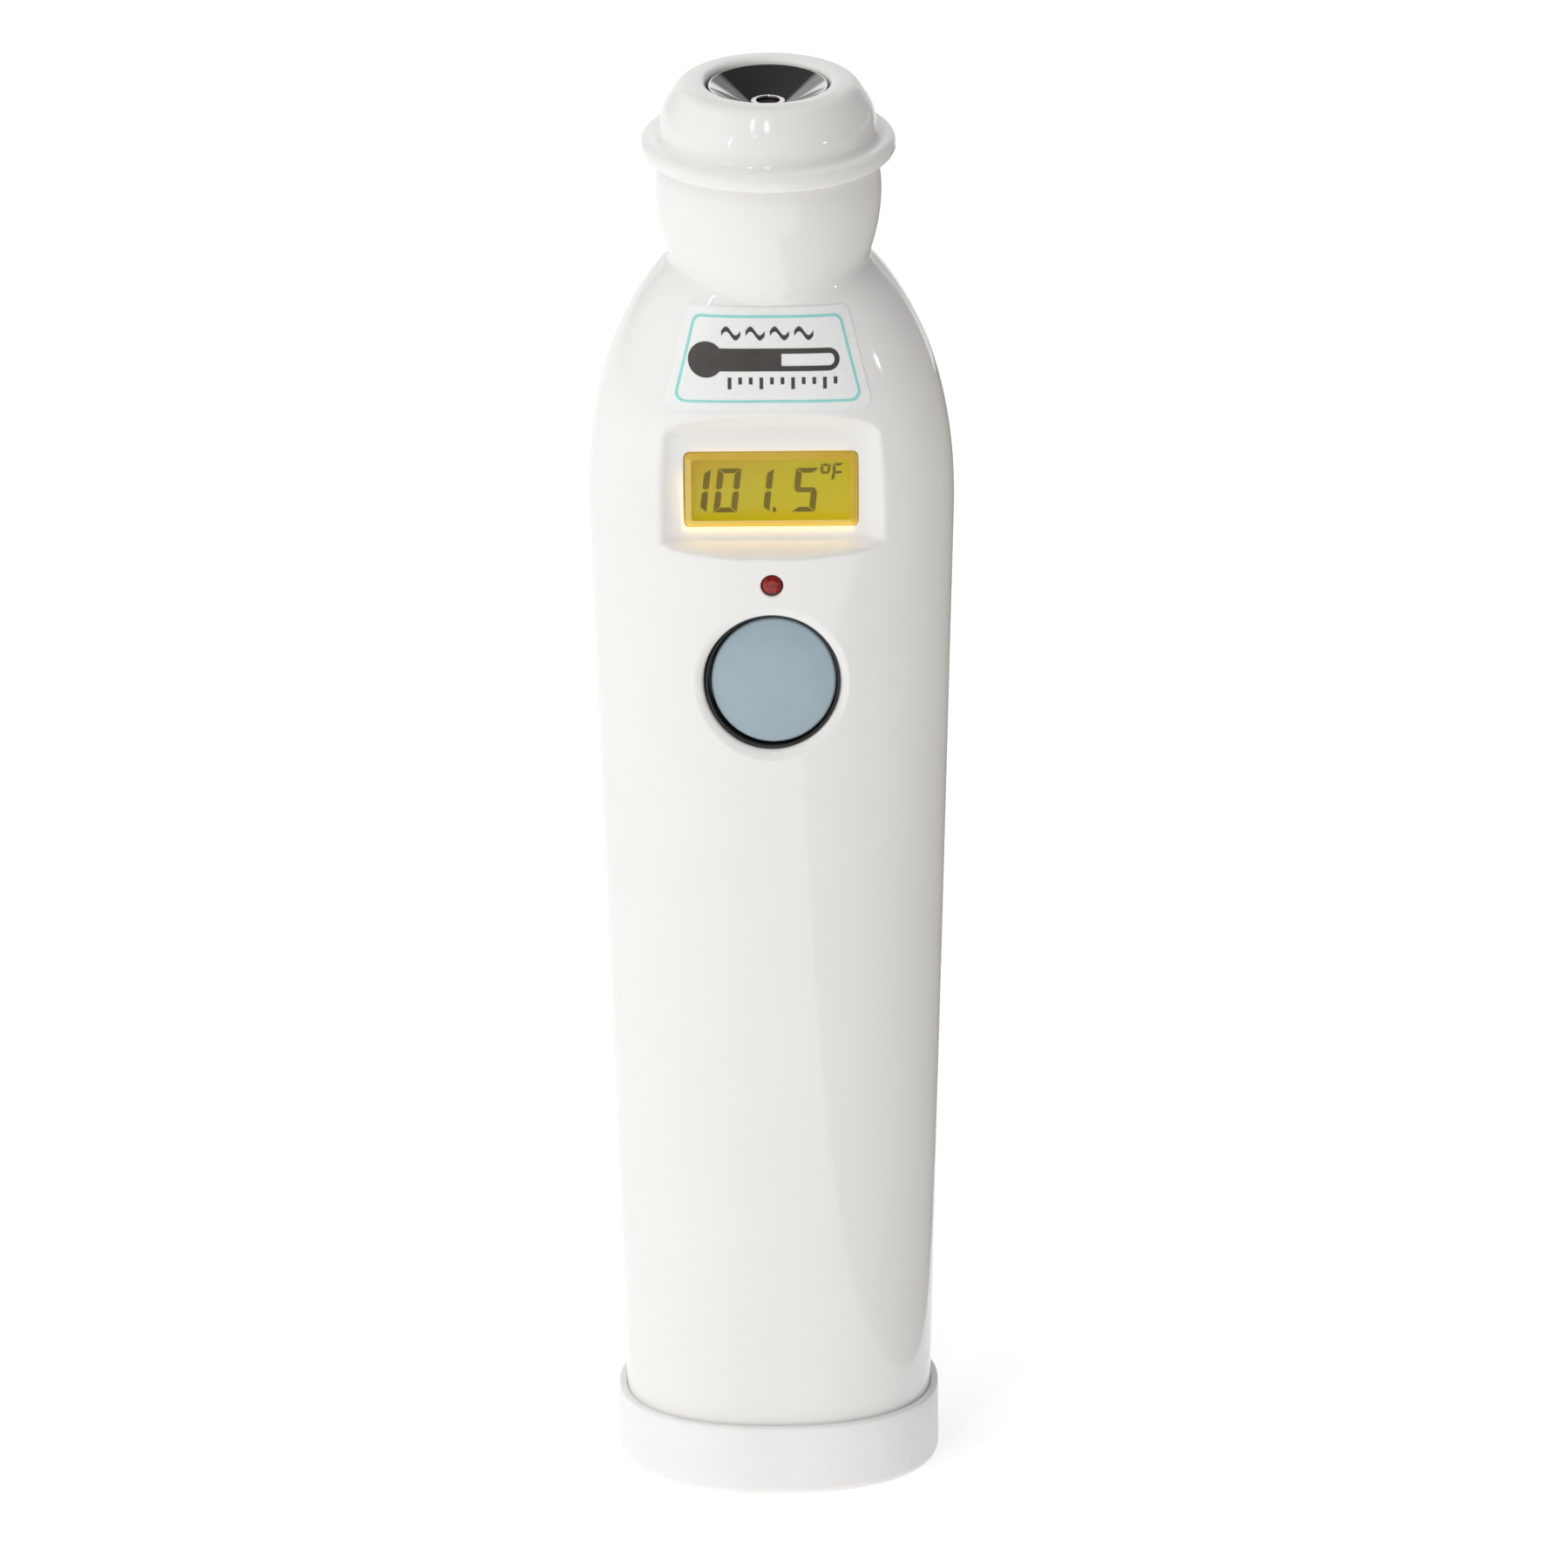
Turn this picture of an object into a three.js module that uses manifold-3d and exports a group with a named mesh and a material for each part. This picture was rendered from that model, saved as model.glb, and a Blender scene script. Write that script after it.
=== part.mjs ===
// Digital infrared thermometer with a cup-shaped probe: millimetres, +Z up.
// The origin is the centre of the foot. The display, lamp and button face -Y.
import * as THREE from 'three';
import { mergeVertices } from 'three/addons/utils/BufferGeometryUtils.js';
import Module from 'manifold-3d';

const wasm = await Module();
wasm.setup();

// ---- Driving dimensions -------------------------------------------------------------

const GAP = 0.3;              // clearance between pieces that touch or are cut apart
const WALL = 1.7;             // moulded wall of the handle
const SEGMENTS = 36;          // sides of the handle and of the probe
const ROUND = 20;             // sides of small round pieces

const FOOT_Z = 1.5;           // the handle's foot stands inside the protective cap
const FOOT_ROUND = 1.0;
const FOOT_HALF_WIDTH = 17.62;
const WIDTH_TAPER = 0.0303;   // half-width gained for each millimetre of height
const SHOULDER_Z = 119;       // the shoulders start to close in here
const SHOULDER_HEIGHT = 36.7;
const SHOULDER_POWER = 2.05;
const FOOT_HALF_DEPTH = 13.9;
const HALF_DEPTH = 16;
const DEEPEST_Z = 75;
const CROWN_HEIGHT = 83;      // from the deepest level to where the depth would close
const CROWN_POWER = 3;
const DEPTH_CURVE = 1.6;
const SECTION_POWER = 2.3;    // 2 is an ellipse, more is squarer

const NECK_RADIUS = 13.05;    // the neck is a ball that grows out of the shoulders
const NECK_Z = 159;
const NECK_HALF_HEIGHT = 17.5;
const NECK_TOP_Z = 163;

const CAP_HALF_WIDTH = 18.8;  // the protective cap, parked on the foot
const CAP_HALF_DEPTH = 15.2;
const CAP_HEIGHT = 8.8;
const CAP_FLOOR = 1.2;
const CAP_CLEARANCE = 0.2;

const BUTTON_Z = 103.24;
const BUTTON_TILT = THREE.MathUtils.degToRad(3);
const BUTTON_STRETCH = 1.05;  // the button is this much taller than wide
const BUTTON_HOLE = 7.95;
const BEZEL_OUTER = 7.8;
const BEZEL_INNER = 7.5;
const BUTTON_RADIUS = 7.25;
const BUTTON_OFFSET = 0.15;
const BUTTON_DEPTH = 1.15;    // the button's face lies this far below the surface

const LAMP_Z = 115.23;
const LAMP_RADIUS = 1.18;

const DISPLAY_Y = -11.6;
const DISPLAY_Z = 125.85;
const DISPLAY_TILT = THREE.MathUtils.degToRad(4);
const WINDOW_HALF_WIDTH = 9.97;
const WINDOW_HALF_HEIGHT = 4.4;

const BOARD_FRONT_Y = -4.4;
const BOARD_THICKNESS = 1.6;
const BOARD_BACK_Y = BOARD_FRONT_Y + BOARD_THICKNESS;
const BOARD_HALF_WIDTH = 13;
const BOARD_BOTTOM_Z = 76;
const BOARD_TOP_Z = 143;
const BOARD_SCREWS = [[-10, 79.5], [10, 79.5], [-9.5, 140.2], [9.5, 140.2]];

const SHELL_SCREW_X = 15.8;
const SHELL_SCREW_ZS = [72, 122];
const SHELL_POST_RADIUS = 2.7;
const SHELL_SCREW_HEAD_Y = 7.5;

const DOOR_HALF_WIDTH = 13.4;
const DOOR_BOTTOM_Z = 10.8;
const DOOR_TOP_Z = 68.6;
const DOOR_SCREW_Z = 13.6;
const DOOR_SCREW_HEAD_Y = 12.5;

const BATTERY_WIDTH = 26.5;
const BATTERY_DEPTH = 17.5;
const BATTERY_CASE_HEIGHT = 46.4;
const BATTERY_BOTTOM_Z = 18.5;
const TERMINAL_HEIGHT = 2.1;
const SNAP_Z = BATTERY_BOTTOM_Z + BATTERY_CASE_HEIGHT + TERMINAL_HEIGHT + GAP;

const LABEL_HALF_WIDTH = 10.5;
const LABEL_BOTTOM_Z = 77;
const LABEL_TOP_Z = 111;
const BADGE_BOTTOM_Z = 136.2;
const BADGE_TOP_Z = 148;
const BADGE_BOTTOM_HALF = 12.2;
const BADGE_TOP_HALF = 9.3;

// ---- Solids: three.js makes the shapes, manifold-3d joins and cuts them -------------

function signedVolume(position, triangles) {
  let volume = 0;
  const corner = (index) => new THREE.Vector3().fromArray(position, 3 * index);
  for (const [a, b, c] of triangles) {
    volume += corner(a).dot(corner(b).cross(corner(c))) / 6;
  }
  return volume;
}

// A closed three.js geometry as a manifold solid, with its faces pointing out.
function solid(geometry) {
  const bare = geometry.clone();
  bare.deleteAttribute('normal');
  bare.deleteAttribute('uv');
  const merged = mergeVertices(bare, 1e-4);
  const position = merged.getAttribute('position').array;
  const index = merged.getIndex().array;
  const triangles = [];
  for (let i = 0; i < index.length; i += 3) {
    const [a, b, c] = index.slice(i, i + 3);
    if (a !== b && b !== c && a !== c) triangles.push([a, b, c]);
  }
  if (signedVolume(position, triangles) < 0) triangles.forEach((triangle) => triangle.reverse());
  return new wasm.Manifold(new wasm.Mesh({
    numProp: 3,
    vertProperties: new Float32Array(position),
    triVerts: new Uint32Array(triangles.flat()),
  }));
}

function join(...solids) {
  return solids.reduce((whole, next) => whole.add(next));
}

function cut(whole, ...tools) {
  return tools.reduce((rest, tool) => rest.subtract(tool), whole);
}

function geometryOf(manifold) {
  const mesh = manifold.getMesh();
  const geometry = new THREE.BufferGeometry();
  geometry.setAttribute('position', new THREE.BufferAttribute(mesh.vertProperties, 3));
  geometry.setIndex(new THREE.BufferAttribute(mesh.triVerts, 1));
  geometry.computeVertexNormals();
  return geometry;
}

const object = new THREE.Group();

function piece(name, manifold, material) {
  const mesh = new THREE.Mesh(geometryOf(manifold), material.clone());
  mesh.name = name;
  object.add(mesh);
}

function box(x0, x1, y0, y1, z0, z1) {
  const geometry = new THREE.BoxGeometry(x1 - x0, y1 - y0, z1 - z0);
  return geometry.translate((x0 + x1) / 2, (y0 + y1) / 2, (z0 + z1) / 2);
}

// A round rod along Y, centred on (x, z).
function rodY(radius, y0, y1, x, z, sides = ROUND) {
  return new THREE.CylinderGeometry(radius, radius, y1 - y0, sides).translate(x, (y0 + y1) / 2, z);
}

// A solid of revolution about Z from [radius, z] pairs that close on themselves.
function turnedZ(profile, sides = SEGMENTS) {
  const points = [...profile, profile[0]].map(([r, z]) => new THREE.Vector2(r, z));
  return new THREE.LatheGeometry(points, sides).rotateX(Math.PI / 2);
}

// A solid of revolution about a line along Y through (x, z), from [radius, y] pairs.
function turnedY(profile, x, z, sides = ROUND) {
  const points = [...profile, profile[0]].map(([r, y]) => new THREE.Vector2(r, y));
  return new THREE.LatheGeometry(points, sides).translate(x, 0, z);
}

function roundedRectangle(halfWidth, halfHeight, radius) {
  const shape = new THREE.Shape();
  shape.absarc(halfWidth - radius, halfHeight - radius, radius, 0, Math.PI / 2);
  shape.absarc(-halfWidth + radius, halfHeight - radius, radius, Math.PI / 2, Math.PI);
  shape.absarc(-halfWidth + radius, -halfHeight + radius, radius, Math.PI, 1.5 * Math.PI);
  shape.absarc(halfWidth - radius, -halfHeight + radius, radius, 1.5 * Math.PI, 2 * Math.PI);
  return shape;
}

// A slab with rounded corners that faces -Y, between two depths.
function slabY(halfWidth, halfHeight, radius, y0, y1) {
  const options = { depth: y1 - y0, bevelEnabled: false, curveSegments: 4 };
  const geometry = new THREE.ExtrudeGeometry(roundedRectangle(halfWidth, halfHeight, radius), options);
  return geometry.rotateX(Math.PI / 2).translate(0, y1, 0);
}

function tubeAlong(curve, radius, steps) {
  const shape = new THREE.Shape().absarc(0, 0, radius, 0, 2 * Math.PI);
  return new THREE.ExtrudeGeometry(shape, { steps, extrudePath: curve, curveSegments: 8 });
}

function screwY(headRadius, headHeight, shankRadius, length, x, headY, z) {
  return turnedY([
    [0, headY + headHeight],
    [headRadius * 0.7, headY + headHeight],
    [headRadius, headY + headHeight * 0.6],
    [headRadius, headY],
    [shankRadius, headY],
    [shankRadius, headY - length + shankRadius],
    [0, headY - length],
  ], x, z, 16);
}

// ---- The handle's outer form ----------------------------------------------------------

function dome(z, start, height, power) {
  const t = THREE.MathUtils.clamp((z - start) / height, 0, 1);
  return (1 - t ** power) ** (1 / power);
}

function halfWidth(z, inset) {
  const straight = FOOT_HALF_WIDTH + WIDTH_TAPER * z - inset;
  return straight * dome(z, SHOULDER_Z, SHOULDER_HEIGHT - inset, SHOULDER_POWER);
}

function halfDepth(z, inset) {
  if (z < DEEPEST_Z) {
    const swell = 1 - (1 - z / DEEPEST_Z) ** DEPTH_CURVE;
    return FOOT_HALF_DEPTH + (HALF_DEPTH - FOOT_HALF_DEPTH) * swell - inset;
  }
  return (HALF_DEPTH - inset) * dome(z, DEEPEST_Z, CROWN_HEIGHT - 1.5 * inset, CROWN_POWER);
}

function neckRadius(z, inset) {
  const t = (z - NECK_Z) / (NECK_HALF_HEIGHT - inset);
  return Math.abs(t) < 1 ? (NECK_RADIUS - inset) * Math.sqrt(1 - t * t) : 0;
}

function ovalRadius(a, b, angle) {
  if (a <= 0 || b <= 0) return 0;
  const across = (Math.abs(Math.cos(angle)) / a) ** SECTION_POWER;
  const along = (Math.abs(Math.sin(angle)) / b) ** SECTION_POWER;
  return (across + along) ** (-1 / SECTION_POWER);
}

// Distance of the handle's surface from its axis, moved inwards by inset.
function handleRadius(angle, z, inset) {
  const body = ovalRadius(halfWidth(z, inset), halfDepth(z, inset), angle);
  return Math.max(body, neckRadius(z, inset));
}

// Half-depth of the handle's surface at a place seen from the front.
function surfaceDepth(x, z) {
  const across = Math.abs(x / halfWidth(z, 0)) ** SECTION_POWER;
  return halfDepth(z, 0) * (1 - across) ** (1 / SECTION_POWER);
}

// A closed body through level rings, its radius given at each angle and level.
function loft(levels, radiusAt) {
  const last = levels.length - 1;
  const profile = [[0, levels[0]], ...levels.map((z) => [1, z]), [0, levels[last]]];
  const points = profile.map(([r, z]) => new THREE.Vector2(r, z));
  const geometry = new THREE.LatheGeometry(points, SEGMENTS).rotateX(Math.PI / 2);
  const position = geometry.getAttribute('position');
  for (let i = 0; i < position.count; i += 1) {
    const x = position.getX(i);
    const y = position.getY(i);
    const z = position.getZ(i);
    const angle = Math.atan2(y, x);
    const radius = Math.hypot(x, y) < 0.5 ? 0 : radiusAt(angle, z);
    position.setXYZ(i, radius * Math.cos(angle), radius * Math.sin(angle), z);
  }
  return geometry;
}

function levelsBetween(low, high, count) {
  return Array.from({ length: count + 1 }, (_, i) => low + ((high - low) * i) / count);
}

const SHOULDER_LEVELS = [
  ...levelsBetween(15, 105, 4),
  ...levelsBetween(116, 141, 5),
  ...levelsBetween(144.5, 152, 5),
  ...levelsBetween(155, 159, 1),
];

function footRounding(z) {
  const below = Math.max(0, FOOT_Z + FOOT_ROUND - z);
  return FOOT_ROUND - Math.sqrt(FOOT_ROUND ** 2 - below ** 2);
}

function handleOuter() {
  const levels = [FOOT_Z, FOOT_Z + 0.3, FOOT_Z + FOOT_ROUND, ...SHOULDER_LEVELS, NECK_TOP_Z];
  return solid(loft(levels, (angle, z) => handleRadius(angle, z, footRounding(z))));
}

function handleInner() {
  const levels = [FOOT_Z + WALL, ...SHOULDER_LEVELS, NECK_TOP_Z + 1];
  return solid(loft(levels, (angle, z) => handleRadius(angle, z, WALL)));
}

// The handle's form between two insets, over a stretch of its height.
function skin(outerInset, innerInset, z0, z1) {
  const levels = [z0, ...SHOULDER_LEVELS.filter((z) => z > z0 && z < z1), z1];
  const outer = loft(levels, (angle, z) => handleRadius(angle, z, outerInset));
  const inner = loft([z0 - 1, ...levels, z1 + 1], (angle, z) => handleRadius(angle, z, innerInset));
  return cut(solid(outer), solid(inner));
}

// ---- Features that are cut into the handle --------------------------------------------

const BUTTON_Y = -surfaceDepth(0, BUTTON_Z);

// From the button's own frame, whose +Y points into the handle, to the object's.
function atButton(geometry) {
  return geometry.rotateX(-BUTTON_TILT).translate(0, BUTTON_Y, BUTTON_Z);
}

function atDisplay(geometry) {
  return geometry.rotateX(-DISPLAY_TILT).translate(0, DISPLAY_Y, DISPLAY_Z);
}

// An oval ring or disc about the button's axis, from [radius, depth] pairs.
function buttonTurned(profile, offset = 0) {
  return atButton(turnedY(profile, offset, 0, SEGMENTS).scale(1, 1, BUTTON_STRETCH));
}

function displayRecess() {
  const floor = { x: 10.8, low: -5.6, high: 6.2 };
  const mouthDepth = 4;
  const slope = { side: 3, low: 0.6, high: 1.28 };
  const geometry = box(-1, 1, -mouthDepth, 0, -1, 1);
  const position = geometry.getAttribute('position');
  for (let i = 0; i < position.count; i += 1) {
    const out = -position.getY(i);
    const side = Math.sign(position.getX(i));
    const z = position.getZ(i) > 0 ? floor.high + slope.high * out : floor.low - slope.low * out;
    position.setX(i, side * (floor.x + slope.side * out));
    position.setZ(i, z);
  }
  return solid(atDisplay(geometry));
}

function windowHole() {
  const clearance = GAP / 2;
  return solid(atDisplay(slabY(
    WINDOW_HALF_WIDTH + clearance,
    WINDOW_HALF_HEIGHT + clearance,
    0.7,
    -1,
    4,
  )));
}

// Thickening behind the display recess, inside the front wall.
function displayBacking() {
  return solid(atDisplay(box(-13.2, 13.2, -9, 1.4, -9, 10.6)));
}

// A thin patch of the skin behind an outline drawn in the XZ plane.
function patch(outline, outerInset, innerInset, z0, z1, side) {
  const prism = new THREE.ExtrudeGeometry(outline, { depth: 20, bevelEnabled: false, curveSegments: 4 });
  prism.rotateX(Math.PI / 2);
  if (side > 0) prism.translate(0, 20, 0);
  return skin(outerInset, innerInset, z0, z1).intersect(solid(prism));
}

function badgeOutline(grow) {
  const shape = new THREE.Shape();
  const top = BADGE_TOP_HALF + grow;
  const bottom = BADGE_BOTTOM_HALF + grow;
  const low = BADGE_BOTTOM_Z - grow;
  const high = BADGE_TOP_Z + grow;
  const corner = 1;
  shape.moveTo(-bottom + corner, low);
  shape.lineTo(bottom - corner, low);
  shape.quadraticCurveTo(bottom, low, bottom - corner * 0.25, low + corner);
  shape.lineTo(top + corner * 0.25, high - corner);
  shape.quadraticCurveTo(top, high, top - corner, high);
  shape.lineTo(-top + corner, high);
  shape.quadraticCurveTo(-top, high, -top - corner * 0.25, high - corner);
  shape.lineTo(-bottom + corner * 0.25, low + corner);
  shape.quadraticCurveTo(-bottom, low, -bottom + corner, low);
  return shape;
}

function labelOutline(grow) {
  const centre = (LABEL_BOTTOM_Z + LABEL_TOP_Z) / 2;
  const halfHeight = (LABEL_TOP_Z - LABEL_BOTTOM_Z) / 2 + grow;
  const points = roundedRectangle(LABEL_HALF_WIDTH + grow, halfHeight, 1.5).getPoints(4);
  return new THREE.Shape(points.map((point) => new THREE.Vector2(point.x, point.y + centre)));
}

const POCKET = { outer: -2, inner: 0.6 };
const STICKER = { outer: 0, inner: 0.28 };

function badgePatch(insets, grow) {
  const z0 = BADGE_BOTTOM_Z - 1.5;
  const z1 = BADGE_TOP_Z + 1.5;
  return patch(badgeOutline(grow), insets.outer, insets.inner, z0, z1, -1);
}

function labelPatch(insets, grow) {
  const z0 = LABEL_BOTTOM_Z - 1;
  const z1 = LABEL_TOP_Z + 1;
  return patch(labelOutline(grow), insets.outer, insets.inner, z0, z1, 1);
}

// ---- Materials ----------------------------------------------------------------------

function finish(color, roughness, metalness = 0) {
  return new THREE.MeshStandardMaterial({ color, roughness, metalness });
}

const GLOSSY_WHITE = finish(0xf1efea, 0.2);
const MILKY_WHITE = finish(0xeef0f1, 0.4);
const BLACK_PLASTIC = finish(0x151515, 0.45);
const BUTTON_GREY = finish(0xa8bac4, 0.45);
const POLISHED_METAL = finish(0xd5d7da, 0.06, 1);
const STEEL = finish(0xb4b6b8, 0.3, 1);
const DARK_GLASS = finish(0x201c22, 0.1);
const AMBER = finish(0xe2a52a, 0.12);
const DISPLAY_GREEN = finish(0xb9bd34, 0.3);
const CLEAR_WHITE = finish(0xf4f4ee, 0.3);
const RUBBER = finish(0x4a4a48, 0.8);
const RED_LAMP = finish(0x7a1412, 0.15);
const BOARD_GREEN = finish(0x1f6a3a, 0.4);
const CHIP_BLACK = finish(0x1c1d1f, 0.5);
const LABEL_WHITE = finish(0xf6f6f4, 0.4);
const BATTERY_CASE = finish(0x2b3a66, 0.35);
const RED_WIRE = finish(0xb42020, 0.45);
const BLACK_WIRE = finish(0x1a1a1a, 0.45);

// ---- Handle shells --------------------------------------------------------------------

const outerForm = handleOuter();
const innerForm = handleInner();

// One side of the handle's wall: the cavity leaves its ribs and posts standing.
function halfShell(region, ribs) {
  return cut(outerForm.intersect(region), cut(innerForm, ...ribs));
}

function shellScrewPlaces() {
  return SHELL_SCREW_ZS.flatMap((z) => [[-SHELL_SCREW_X, z], [SHELL_SCREW_X, z]]);
}

function frontPosts() {
  const posts = [];
  for (const [x, z] of shellScrewPlaces()) {
    posts.push(solid(rodY(SHELL_POST_RADIUS, -20, -GAP / 2, x, z)));
  }
  for (const [x, z] of BOARD_SCREWS) {
    posts.push(solid(rodY(2.2, -20, BOARD_FRONT_Y - GAP, x, z, 16)));
  }
  posts.push(solid(box(-20, 20, -20, -0.6, 16.6, 17.8)));
  posts.push(solid(box(-20, 20, -20, -2.4, 73, 74.2)));
  return posts;
}

function frontCover() {
  const holes = [];
  for (const [x, z] of shellScrewPlaces()) holes.push(solid(rodY(1.25, -5.6, 5, x, z, 16)));
  for (const [x, z] of BOARD_SCREWS) holes.push(solid(rodY(1.2, -8.4, 0, x, z, 16)));
  holes.push(solid(rodY(1.45, 2, 12, 0, DOOR_SCREW_Z, 16)));
  const buttonHole = buttonTurned([[0, -3], [BUTTON_HOLE, -3], [BUTTON_HOLE, 6], [0, 6]]);
  const lampHole = solid(rodY(LAMP_RADIUS + 0.15, -20, -9, 0, LAMP_Z));
  const frontSide = solid(box(-40, 40, -40, -GAP / 2, -10, 200));
  const doorPost = solid(rodY(2.7, -20, 9.2, 0, DOOR_SCREW_Z)).intersect(innerForm);
  return cut(
    join(halfShell(frontSide, [...frontPosts(), displayBacking()]), doorPost),
    ...holes,
    solid(buttonHole),
    lampHole,
    displayRecess(),
    windowHole(),
    badgePatch(POCKET, GAP),
  );
}

function doorOpening(clearance) {
  const halfWide = DOOR_HALF_WIDTH - clearance;
  const opening = box(-halfWide, halfWide, 5, 30, DOOR_BOTTOM_Z + clearance, DOOR_TOP_Z - clearance);
  return solid(opening);
}

function rearCover() {
  const posts = [];
  const holes = [];
  for (const [x, z] of shellScrewPlaces()) {
    posts.push(solid(rodY(SHELL_POST_RADIUS, GAP / 2, 20, x, z)));
    holes.push(solid(rodY(1.25, -1, 20, x, z, 16)));
    holes.push(solid(rodY(2.05, SHELL_SCREW_HEAD_Y - GAP, 20, x, z, 16)));
  }
  const rearSide = solid(box(-40, 40, GAP / 2, 40, -10, 200));
  return cut(halfShell(rearSide, posts), ...holes, doorOpening(0), labelPatch(POCKET, GAP));
}

function batteryDoor() {
  const boss = solid(rodY(3.2, 9.5, 20, 0, DOOR_SCREW_Z));
  const panel = halfShell(doorOpening(GAP / 2), [boss]);
  const root = solid(box(-5, 5, 12.6, 14.8, 64, DOOR_TOP_Z - 1));
  const tongue = solid(box(-5, 5, 12.6, 13.8, 64, DOOR_TOP_Z + 2.4));
  const shank = solid(rodY(1.45, 0, 20, 0, DOOR_SCREW_Z, 16));
  const counterbore = solid(rodY(2.5, DOOR_SCREW_HEAD_Y - GAP, 20, 0, DOOR_SCREW_Z));
  return cut(join(panel, root, tongue), shank, counterbore);
}

piece('front_cover', frontCover(), GLOSSY_WHITE);
piece('rear_cover', rearCover(), GLOSSY_WHITE);
piece('battery_door', batteryDoor(), GLOSSY_WHITE);
piece('front_badge', badgePatch(STICKER, 0), LABEL_WHITE);
piece('rear_label', labelPatch(STICKER, 0), LABEL_WHITE);

shellScrewPlaces().forEach(([x, z], index) => {
  const screw = screwY(1.75, 1.2, 0.95, 12, x, SHELL_SCREW_HEAD_Y, z);
  piece(`shell_screw_${index + 1}`, solid(screw), STEEL);
});
const doorScrew = screwY(2.2, 1.2, 1.15, 9, 0, DOOR_SCREW_HEAD_Y, DOOR_SCREW_Z);
piece('door_screw', solid(doorScrew), STEEL);

// ---- Protective cap, parked on the foot -------------------------------------------------

function protectiveCap() {
  const round = 1.2;
  const rounding = (z) => round - Math.sqrt(round ** 2 - Math.max(0, round - z) ** 2);
  const levels = [0, 0.15, 0.45, round, CAP_HEIGHT];
  const outer = loft(levels, (angle, z) => {
    const inset = rounding(z);
    return ovalRadius(CAP_HALF_WIDTH - inset, CAP_HALF_DEPTH - inset, angle);
  });
  const seat = [CAP_FLOOR, CAP_FLOOR + FOOT_ROUND, CAP_HEIGHT + 1];
  const inner = loft(seat, (angle, z) => {
    const low = Math.max(0, CAP_FLOOR + FOOT_ROUND - z);
    const inset = FOOT_ROUND - Math.sqrt(FOOT_ROUND ** 2 - low ** 2);
    return handleRadius(angle, z, inset * 0.6 - CAP_CLEARANCE);
  });
  return cut(solid(outer), solid(inner));
}

piece('protective_cap', protectiveCap(), MILKY_WHITE);

// ---- Probe ------------------------------------------------------------------------------

const PROBE_CUP = [
  [9.3, 158.6], [10.5, 158.6], [10.5, 163.3],
  [13.7, 163.3], [14.45, 163.6], [14.75, 164.3], [14.6, 164.9], [14.1, 165.3],
  [13.3, 165.45], [12.8, 165.8], [12.55, 166.5], [12.3, 167.6], [11.8, 168.8],
  [11.1, 170], [10.3, 170.95], [9.4, 171.65], [8.4, 172], [7.7, 171.9], [7.25, 171.45],
  [7.2, 170.9], [7.2, 169.9], [8.2, 169.9], [9.5, 169.1], [10.3, 167.9], [10.6, 166.4],
  [10.6, 164.6], [9.3, 164],
];
piece('probe_cup', solid(turnedZ(PROBE_CUP)), GLOSSY_WHITE);

const REFLECTOR_CONE = [
  [2.45, 165.2], [3.6, 165.2], [3.6, 166.8], [6.9, 170.3], [6.9, 171.3], [6.77, 171.4], [2.45, 168.7],
];
piece('reflector_cone', solid(turnedZ(REFLECTOR_CONE)), POLISHED_METAL);

const CONE_HOLDER = [
  [3.95, 163.2], [8.8, 163.2], [8.8, 168.3], [7.8, 169.1], [6.6, 169.3], [3.95, 166.5],
];
piece('cone_holder', solid(turnedZ(CONE_HOLDER)), BLACK_PLASTIC);

const SENSOR_CAN = [
  [1.85, 165.6], [2.1, 165.6], [2.1, 169.35], [1.95, 169.55], [1.35, 169.55], [1.35, 169.3], [1.85, 169.3],
];
piece('sensor_can', solid(turnedZ(SENSOR_CAN, ROUND)), POLISHED_METAL);

const SENSOR_WINDOW = [[0, 168.7], [1.55, 168.7], [1.55, 169], [0, 169]];
piece('sensor_window', solid(turnedZ(SENSOR_WINDOW, ROUND)), DARK_GLASS);

const PIN_CIRCLE = 1.3;

function pinPlaces() {
  const turns = [0.25, 0.75, 1.25, 1.75];
  return turns.map((turn) => [PIN_CIRCLE * Math.cos(turn * Math.PI), PIN_CIRCLE * Math.sin(turn * Math.PI)]);
}

function uprightRod(radius, z0, z1, x, y, sides) {
  const rod = new THREE.CylinderGeometry(radius, radius, z1 - z0, sides).rotateX(Math.PI / 2);
  return rod.translate(x, y, (z0 + z1) / 2);
}

function sensorHeader() {
  const disc = solid(uprightRod(2.6, 163.8, 164.9, 0, 0, ROUND));
  const pins = pinPlaces().map(([x, y]) => solid(uprightRod(0.22, 160.4, 164, x, y, 8)));
  return join(disc, ...pins);
}

function sensorBoard() {
  const disc = solid(uprightRod(8, 161.5, 162.6, 0, 0, ROUND));
  return cut(disc, ...pinPlaces().map(([x, y]) => solid(uprightRod(0.55, 161, 163, x, y, 8))));
}

piece('sensor_header', sensorHeader(), STEEL);
piece('sensor_board', sensorBoard(), BOARD_GREEN);

function sensorCable() {
  const route = new THREE.CubicBezierCurve3(
    new THREE.Vector3(0, 4.2, 161.1),
    new THREE.Vector3(0, 4.2, 152),
    new THREE.Vector3(0, -1.4, 152),
    new THREE.Vector3(0, -1.4, 143.2),
  );
  const section = new THREE.Shape();
  section.moveTo(-2, -0.3);
  section.lineTo(2, -0.3);
  section.lineTo(2, 0.3);
  section.lineTo(-2, 0.3);
  section.closePath();
  return new THREE.ExtrudeGeometry(section, { steps: 12, extrudePath: route, bevelEnabled: false });
}

piece('sensor_cable', solid(sensorCable()), CLEAR_WHITE);

// ---- Display ------------------------------------------------------------------------------

const LCD_HALF_WIDTH = 10.8;
const LCD_HALF_HEIGHT = 6.6;

function displayWindow() {
  return solid(atDisplay(slabY(WINDOW_HALF_WIDTH, WINDOW_HALF_HEIGHT, 0.6, -0.45, 0.4)));
}

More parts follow.
